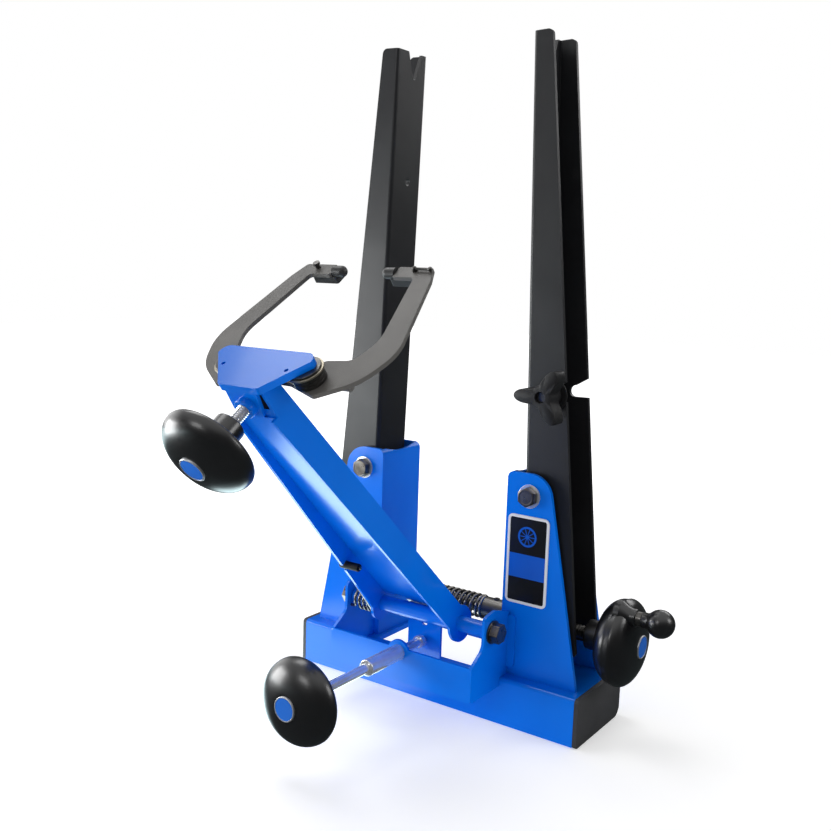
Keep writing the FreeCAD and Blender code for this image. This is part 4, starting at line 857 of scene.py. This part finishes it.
def makeScrews():
    # spindle with a thread at each end, caliper screw threaded over its length, smooth radial screw
    facts = screws
    middle = facts["spindleMiddle"]
    rod = roundedLine([
        (-middle, 0), (-middle, facts["spindleNeck"]), (-facts["neckStart"], facts["spindleRadius"]),
        (facts["neckStart"], facts["spindleRadius"]), (middle, facts["spindleNeck"]), (middle, 0),
    ])
    attachTurned("spindle_rod", "spindle_middle", rod, spot(0, 0, spindleHeight), acrossX, "blackOxide", 40)
    for side, name, end in ((1, "right", facts["threadEndRight"]), (-1, "left", facts["threadEndLeft"])):
        piece = threaded("spindle_thread_" + name, spot(side * facts["threadStart"], 0, spindleHeight),
                         side * acrossX, end - facts["threadStart"], facts["spindleRadius"],
                         facts["spindlePitch"], facts["spindleDepth"], 1, "blackOxide")
        attach(piece, "spindle_rod", replace=False)
    start = atHead(0, facts["caliperStart"], 0)
    piece = threaded("caliper_screw_thread", start, headWay, facts["caliperLength"], facts["caliperRadius"],
                     facts["caliperPitch"], facts["caliperDepth"], 1, "zincBright", 48)
    attach(piece, "caliper_screw")
    radius, ball = facts["radialRadius"], facts["radialNose"]
    nose = [(facts["radialStart"], 0), (facts["radialStart"], radius),
            (facts["noseStart"] - facts["noseStep"], radius), (facts["noseStart"], ball)]
    for k in range(facts["noseSteps"] + 1):
        angle = k / facts["noseSteps"] * math.pi / 2
        nose.append((facts["noseTip"] - ball * (1 - math.sin(angle)), ball * math.cos(angle)))
    place = spot(0, 0, radialHeight)
    attachTurned("radial_screw", "radial_screw_turned", nose, place, backY, "zincBright", 48)


def makeBushes():
    # flanged bush of the radial screw, and the blue collar of the caliper screw
    facts = bushes
    bore = screws["radialRadius"] + screws["clearance"]
    front, back, flange = facts["radialFront"], facts["radialBack"], facts["flange"]
    radius, wide, edge = facts["radialRadius"], facts["flangeRadius"], facts["flangeEdge"]
    bush = roundedLine([(front, bore), (front, radius, facts["radialEdge"]), (flange, radius),
                        (flange, wide, edge), (back, wide, edge), (back, bore), (front, bore)], 5)
    place, around = spot(0, 0, radialHeight), facts["radialAround"]
    attachTurned("radial_bush", "radial_bush_turned", bush, place, backY, "zincBright", around)
    front, back, bore = facts["caliperFront"], facts["caliperBack"], facts["caliperBore"]
    radius, edge = facts["caliperRadius"], facts["caliperEdge"]
    collar = roundedLine([(front, bore), (front, radius, edge), (back, radius, edge), (back, bore),
                          (front, bore)], 4)
    place, around = atHead(0, 0, 0), facts["caliperAround"]
    attachTurned("caliper_bush", "caliper_bush_turned", collar, place, headWay, "stoveBlue", around)


makeScrews()
makeBushes()

springs = {
    "spindle": {"outer": 9.6, "wire": 2.6, "turns": 12, "half": 28.9, "flatRise": 0.12, "perTurn": 40,
                "around": 16},
    "arm": {"mean": 8.7, "wire": 2.2, "turns": 4, "pitch": 4.0, "first": -61.5, "legS": 69.0, "legT": -7.0,
            "coilGap": 2.4, "skip": 1.4, "unwound": 0.35, "perTurn": 40, "flangeGap": 0.5, "bendS": 4.0,
            "bendX": 4.0, "legStart": 6.0, "hookLength": 15.8, "bendSteps": 12, "joinSteps": 8, "around": 14},
    "sleeve": {"start": -2.6, "end": 14.2, "bore": 1.15, "radius": 2.9, "edge": 0.5, "around": 40},
}
armFlange = {"halfWidth": 37.2, "taper": 0.0817}  # outer face of the arm's flange, narrower along the arm


def spindleSpring():
    # helix whose first and last turn lie nearly flat against the collars
    facts = springs["spindle"]
    turns, mean = facts["turns"], facts["outer"] - facts["wire"] / 2
    half = facts["half"] - facts["wire"] / 2
    angle = np.linspace(0, 2 * math.pi * turns, turns * facts["perTurn"] + 1)
    turn = angle / (2 * math.pi)
    rise = np.clip(np.minimum(turn, turns - turn), facts["flatRise"], 1.0)
    along = np.concatenate([[0], np.cumsum((rise[1:] + rise[:-1]) / 2)])
    x = half * (2 * along / along[-1] - 1)
    coil = np.stack([x, mean * np.sin(angle), spindleHeight + mean * np.cos(angle)], axis=1)
    piece = wire("spindle_spring_wire", coil * mm, facts["wire"] / 2, "springDark", facts["around"])
    attach(piece, "spindle_spring")


def unitWay(first, last):
    # unit vector from one point to another
    return (last - first) / np.linalg.norm(last - first)


def armSpring():
    # helix round the pivot, a straight leg along the arm, and its end bent square through the notch
    facts = springs["arm"]
    turns, mean = facts["turns"], facts["mean"]
    beginX = facts["first"] + facts["coilGap"] * facts["wire"]
    skip = facts["skip"] * facts["wire"] / mean
    angle = np.linspace(skip, 2 * math.pi * turns - facts["unwound"], turns * facts["perTurn"] + 1)
    share = (angle - skip) / (2 * math.pi * turns - skip)
    x = beginX + facts["pitch"] * turns * share
    coil = np.stack([x, mean * np.sin(angle), -mean * np.cos(angle)], axis=1)
    flange = -(armFlange["halfWidth"] - armFlange["taper"] * facts["legS"])
    legX = flange - facts["flangeGap"] - facts["wire"] / 2
    coilEnd = np.array([beginX + facts["pitch"] * turns, 0, -mean])
    legEnd = np.array([legX, facts["legS"] - facts["bendS"], facts["legT"]])
    legWay = unitWay(coilEnd, legEnd)
    entry = np.array([facts["first"] + facts["wire"], 0, -mean])
    onLeg = coilEnd + legWay * facts["legStart"]
    bent = np.array([legX + facts["bendX"], facts["legS"], facts["legT"]])
    route = np.vstack([
        [[facts["first"], 0, -mean], entry],
        easeBetween(entry, acrossX, coil[0], unitWay(coil[0], coil[1]), facts["joinSteps"]), coil[1:],
        easeBetween(coil[-1], unitWay(coil[-2], coil[-1]), onLeg, legWay, facts["joinSteps"]),
        easeBetween(onLeg, legWay, legEnd, legWay, facts["bendSteps"]),
        easeBetween(legEnd, legWay, bent, acrossX, facts["bendSteps"]),
        [[flange + facts["hookLength"], facts["legS"], facts["legT"]]],
    ])
    placed = np.array([atArm(*p) for p in route])
    piece = wire("arm_spring_wire", placed, facts["wire"] / 2, "springDark", facts["around"])
    attach(piece, "arm_spring")
    tube = springs["sleeve"]
    start, end, bore, radius, edge = (tube[key] for key in ("start", "end", "bore", "radius", "edge"))
    sleeve = roundedLine([(start, bore), (start, radius, edge), (end, radius, edge), (end, bore),
                          (start, bore)], 4)
    place = atArm(flange, facts["legS"], facts["legT"])
    around = tube["around"]
    attachTurned("spring_sleeve", "spring_sleeve_turned", sleeve, place, acrossX, "sleeveRubber", around)


spindleSpring()
armSpring()
print("screws and springs made")


# stacks under the head's corners: black washers with one pale washer

stack = {
    "pivotU": 30.0, "pivotW": -107.0, "foot": 0.05, "bore": 3.05, "radius": 10.2, "edge": 0.3,
    "grooves": (2.45, 4.95), "grooveHalf": 0.15, "grooveDepth": 0.7, "grooveEdge": 0.12,
    "paleBore": 10.0, "pale": 11.35, "paleEdge": 0.25, "paleLow": 7.4, "paleHigh": 8.6, "top": 9.95,
    "topInset": 0.1, "around": 64,
}


def makeStacks():
    # grooved stack of washers turned round each caliper pivot
    facts = stack
    radius, bore, low, high = facts["radius"], facts["bore"], facts["paleLow"], facts["paleHigh"]
    outline = [(facts["foot"], bore), (facts["foot"], radius, facts["edge"])]
    for groove in facts["grooves"]:
        outline += [(groove - facts["grooveHalf"], radius, facts["grooveEdge"]),
                    (groove, radius - facts["grooveDepth"]),
                    (groove + facts["grooveHalf"], radius, facts["grooveEdge"])]
    outline += [(low, radius), (high, radius), (facts["top"], radius - facts["topInset"], facts["edge"]),
                (facts["top"], bore), (facts["foot"], bore)]
    pale = [(low, facts["paleBore"]), (low, facts["pale"], facts["paleEdge"]),
            (high, facts["pale"], facts["paleEdge"]), (high, facts["paleBore"]), (low, facts["paleBore"])]
    for side, name in ((1, "right"), (-1, "left")):
        foot = atHead(side * facts["pivotU"], facts["pivotW"], 0)
        node, around = "caliper_spacer_" + name, facts["around"]
        line = roundedLine(outline, 3)
        attachTurned(node, "caliper_stack_" + name, line, foot, headUp, "blackOxide", around)
        line = roundedLine(pale, 3)
        attachTurned(node, "caliper_washer_" + name, line, foot, headUp, "washerBeige", around, replace=False)


makeStacks()


# badge: silver rim round a black field with a plain blue band and a plain wheel, no lettering

badge = {
    "left": 59.6, "right": 93.5, "low": 92.7, "high": 159.7, "face": -26.5, "thickness": 0.8, "corner": 4.0,
    "leastCorner": 0.8, "rim": 2.1, "rimEdge": 0.3, "rimSlope": 0.35, "rimFall": 0.25, "gap": 0.05,
    "fieldCorner": 1.3, "fieldBack": 0.24, "fieldFront": 0.18, "bandLow": 112.6, "bandHigh": 130.6,
    "bandCorner": 0.05, "bandBack": 0.17, "bandFront": 0.14, "wheelX": 76.0, "wheelZ": 144.0,
    "wheelRadius": 7.6, "tyreWidth": 1.5, "hubRadius": 1.5, "print": 0.05, "spokes": 10, "spokeHalf": 0.3,
    "spokeSunk": 0.1, "around": 64, "hubAround": 32,
}


def roundedBox(left, right, low, high, corner, steps=6):
    # outline of a rectangle with round corners
    outline = []
    for cx, cz, turnStart in ((right - corner, high - corner, 0), (left + corner, high - corner, 90),
                              (left + corner, low + corner, 180), (right - corner, low + corner, 270)):
        for k in range(steps + 1):
            angle = math.radians(turnStart + 90 * k / steps)
            outline.append((cx + corner * math.cos(angle), cz + corner * math.sin(angle)))
    return np.array(outline)


def layer(name, outlines, depths, look, replace=False):
    # plate of the badge from outlines at depths behind its face, closed with a fan at the back and the front
    y = [badge["face"] + depth for depth in depths]
    rings = np.array([[spot(x, level, z) for x, z in outline] for outline, level in zip(outlines, y)])
    middle = (outlines[0].min(axis=0) + outlines[0].max(axis=0)) / 2
    points, faces = capped(rings, spot(middle[0], y[0], middle[1]), spot(middle[0], y[-1], middle[1]))
    attach(newPiece(name, points, faces, look), "badge_plate", replace)


def makeBadge():
    # plate with a raised rim, and the printed field and band laid into it
    facts = badge
    left, right, low, high = facts["left"], facts["right"], facts["low"], facts["high"]
    inset = [0.0, 0.0, facts["rimSlope"], facts["rim"] - facts["rimEdge"], facts["rim"]]
    corners = [max(facts["corner"] - i, facts["leastCorner"]) for i in inset]
    outlines = [roundedBox(left + i, right - i, low + i, high - i, c) for i, c in zip(inset, corners)]
    layer("badge_rim", outlines, [facts["thickness"], facts["rimEdge"], 0.0, 0.0, facts["rimFall"]],
          "rimSilver", True)
    edge = facts["rim"] + facts["gap"]
    field = [roundedBox(left + edge, right - edge, low + edge, high - edge, facts["fieldCorner"])] * 2
    layer("badge_field", field, [facts["fieldBack"], facts["fieldFront"]], "badgeBlack")
    low, high = facts["bandLow"], facts["bandHigh"]
    band = [roundedBox(left + edge, right - edge, low, high, facts["bandCorner"], 1)] * 2
    layer("badge_band", band, [facts["bandBack"], facts["bandFront"]], "badgeBlue")


def makeWheelEmblem():
    # plain wheel on the badge: tyre, hub and spokes
    facts = badge
    middle = spot(facts["wheelX"], facts["face"] + facts["bandBack"], facts["wheelZ"])
    outer, inner, ink = facts["wheelRadius"], facts["wheelRadius"] - facts["tyreWidth"], facts["print"]
    tyre = roundedLine([(0, inner), (0, outer), (ink, outer), (ink, inner), (0, inner)])
    around, hubAround = facts["around"], facts["hubAround"]
    attachTurned("badge_plate", "badge_tyre", tyre, middle, -backY, "badgeBlue", around, replace=False)
    hub = [(0, 0), (0, facts["hubRadius"]), (ink, facts["hubRadius"]), (ink, 0)]
    attachTurned("badge_plate", "badge_hub", hub, middle, -backY, "badgeBlue", hubAround, replace=False)
    start, end, half = facts["hubRadius"] - facts["spokeSunk"], inner + facts["spokeSunk"], facts["spokeHalf"]
    points, faces = [], []
    for k in range(facts["spokes"]):
        angle = 2 * math.pi * k / facts["spokes"]
        way = np.array([math.cos(angle), 0, math.sin(angle)])
        side = np.array([-math.sin(angle), 0, math.cos(angle)])
        first = len(points)
        for depth in (0.0, -ink):
            for reach, offset in ((start, -half), (start, half), (end, half), (end, -half)):
                points.append(middle + (way * reach + side * offset + backY * depth) * mm)
        faces += [tuple(first + i for i in face) for face in (
            (0, 1, 2, 3), (7, 6, 5, 4), (0, 4, 5, 1), (1, 5, 6, 2), (2, 6, 7, 3), (3, 7, 4, 0))]
    attach(newPiece("badge_spokes", points, faces, "badgeBlue"), "badge_plate", replace=False)


makeBadge()
makeWheelEmblem()
print("stacks and badge made")

bpy.context.view_layer.update()
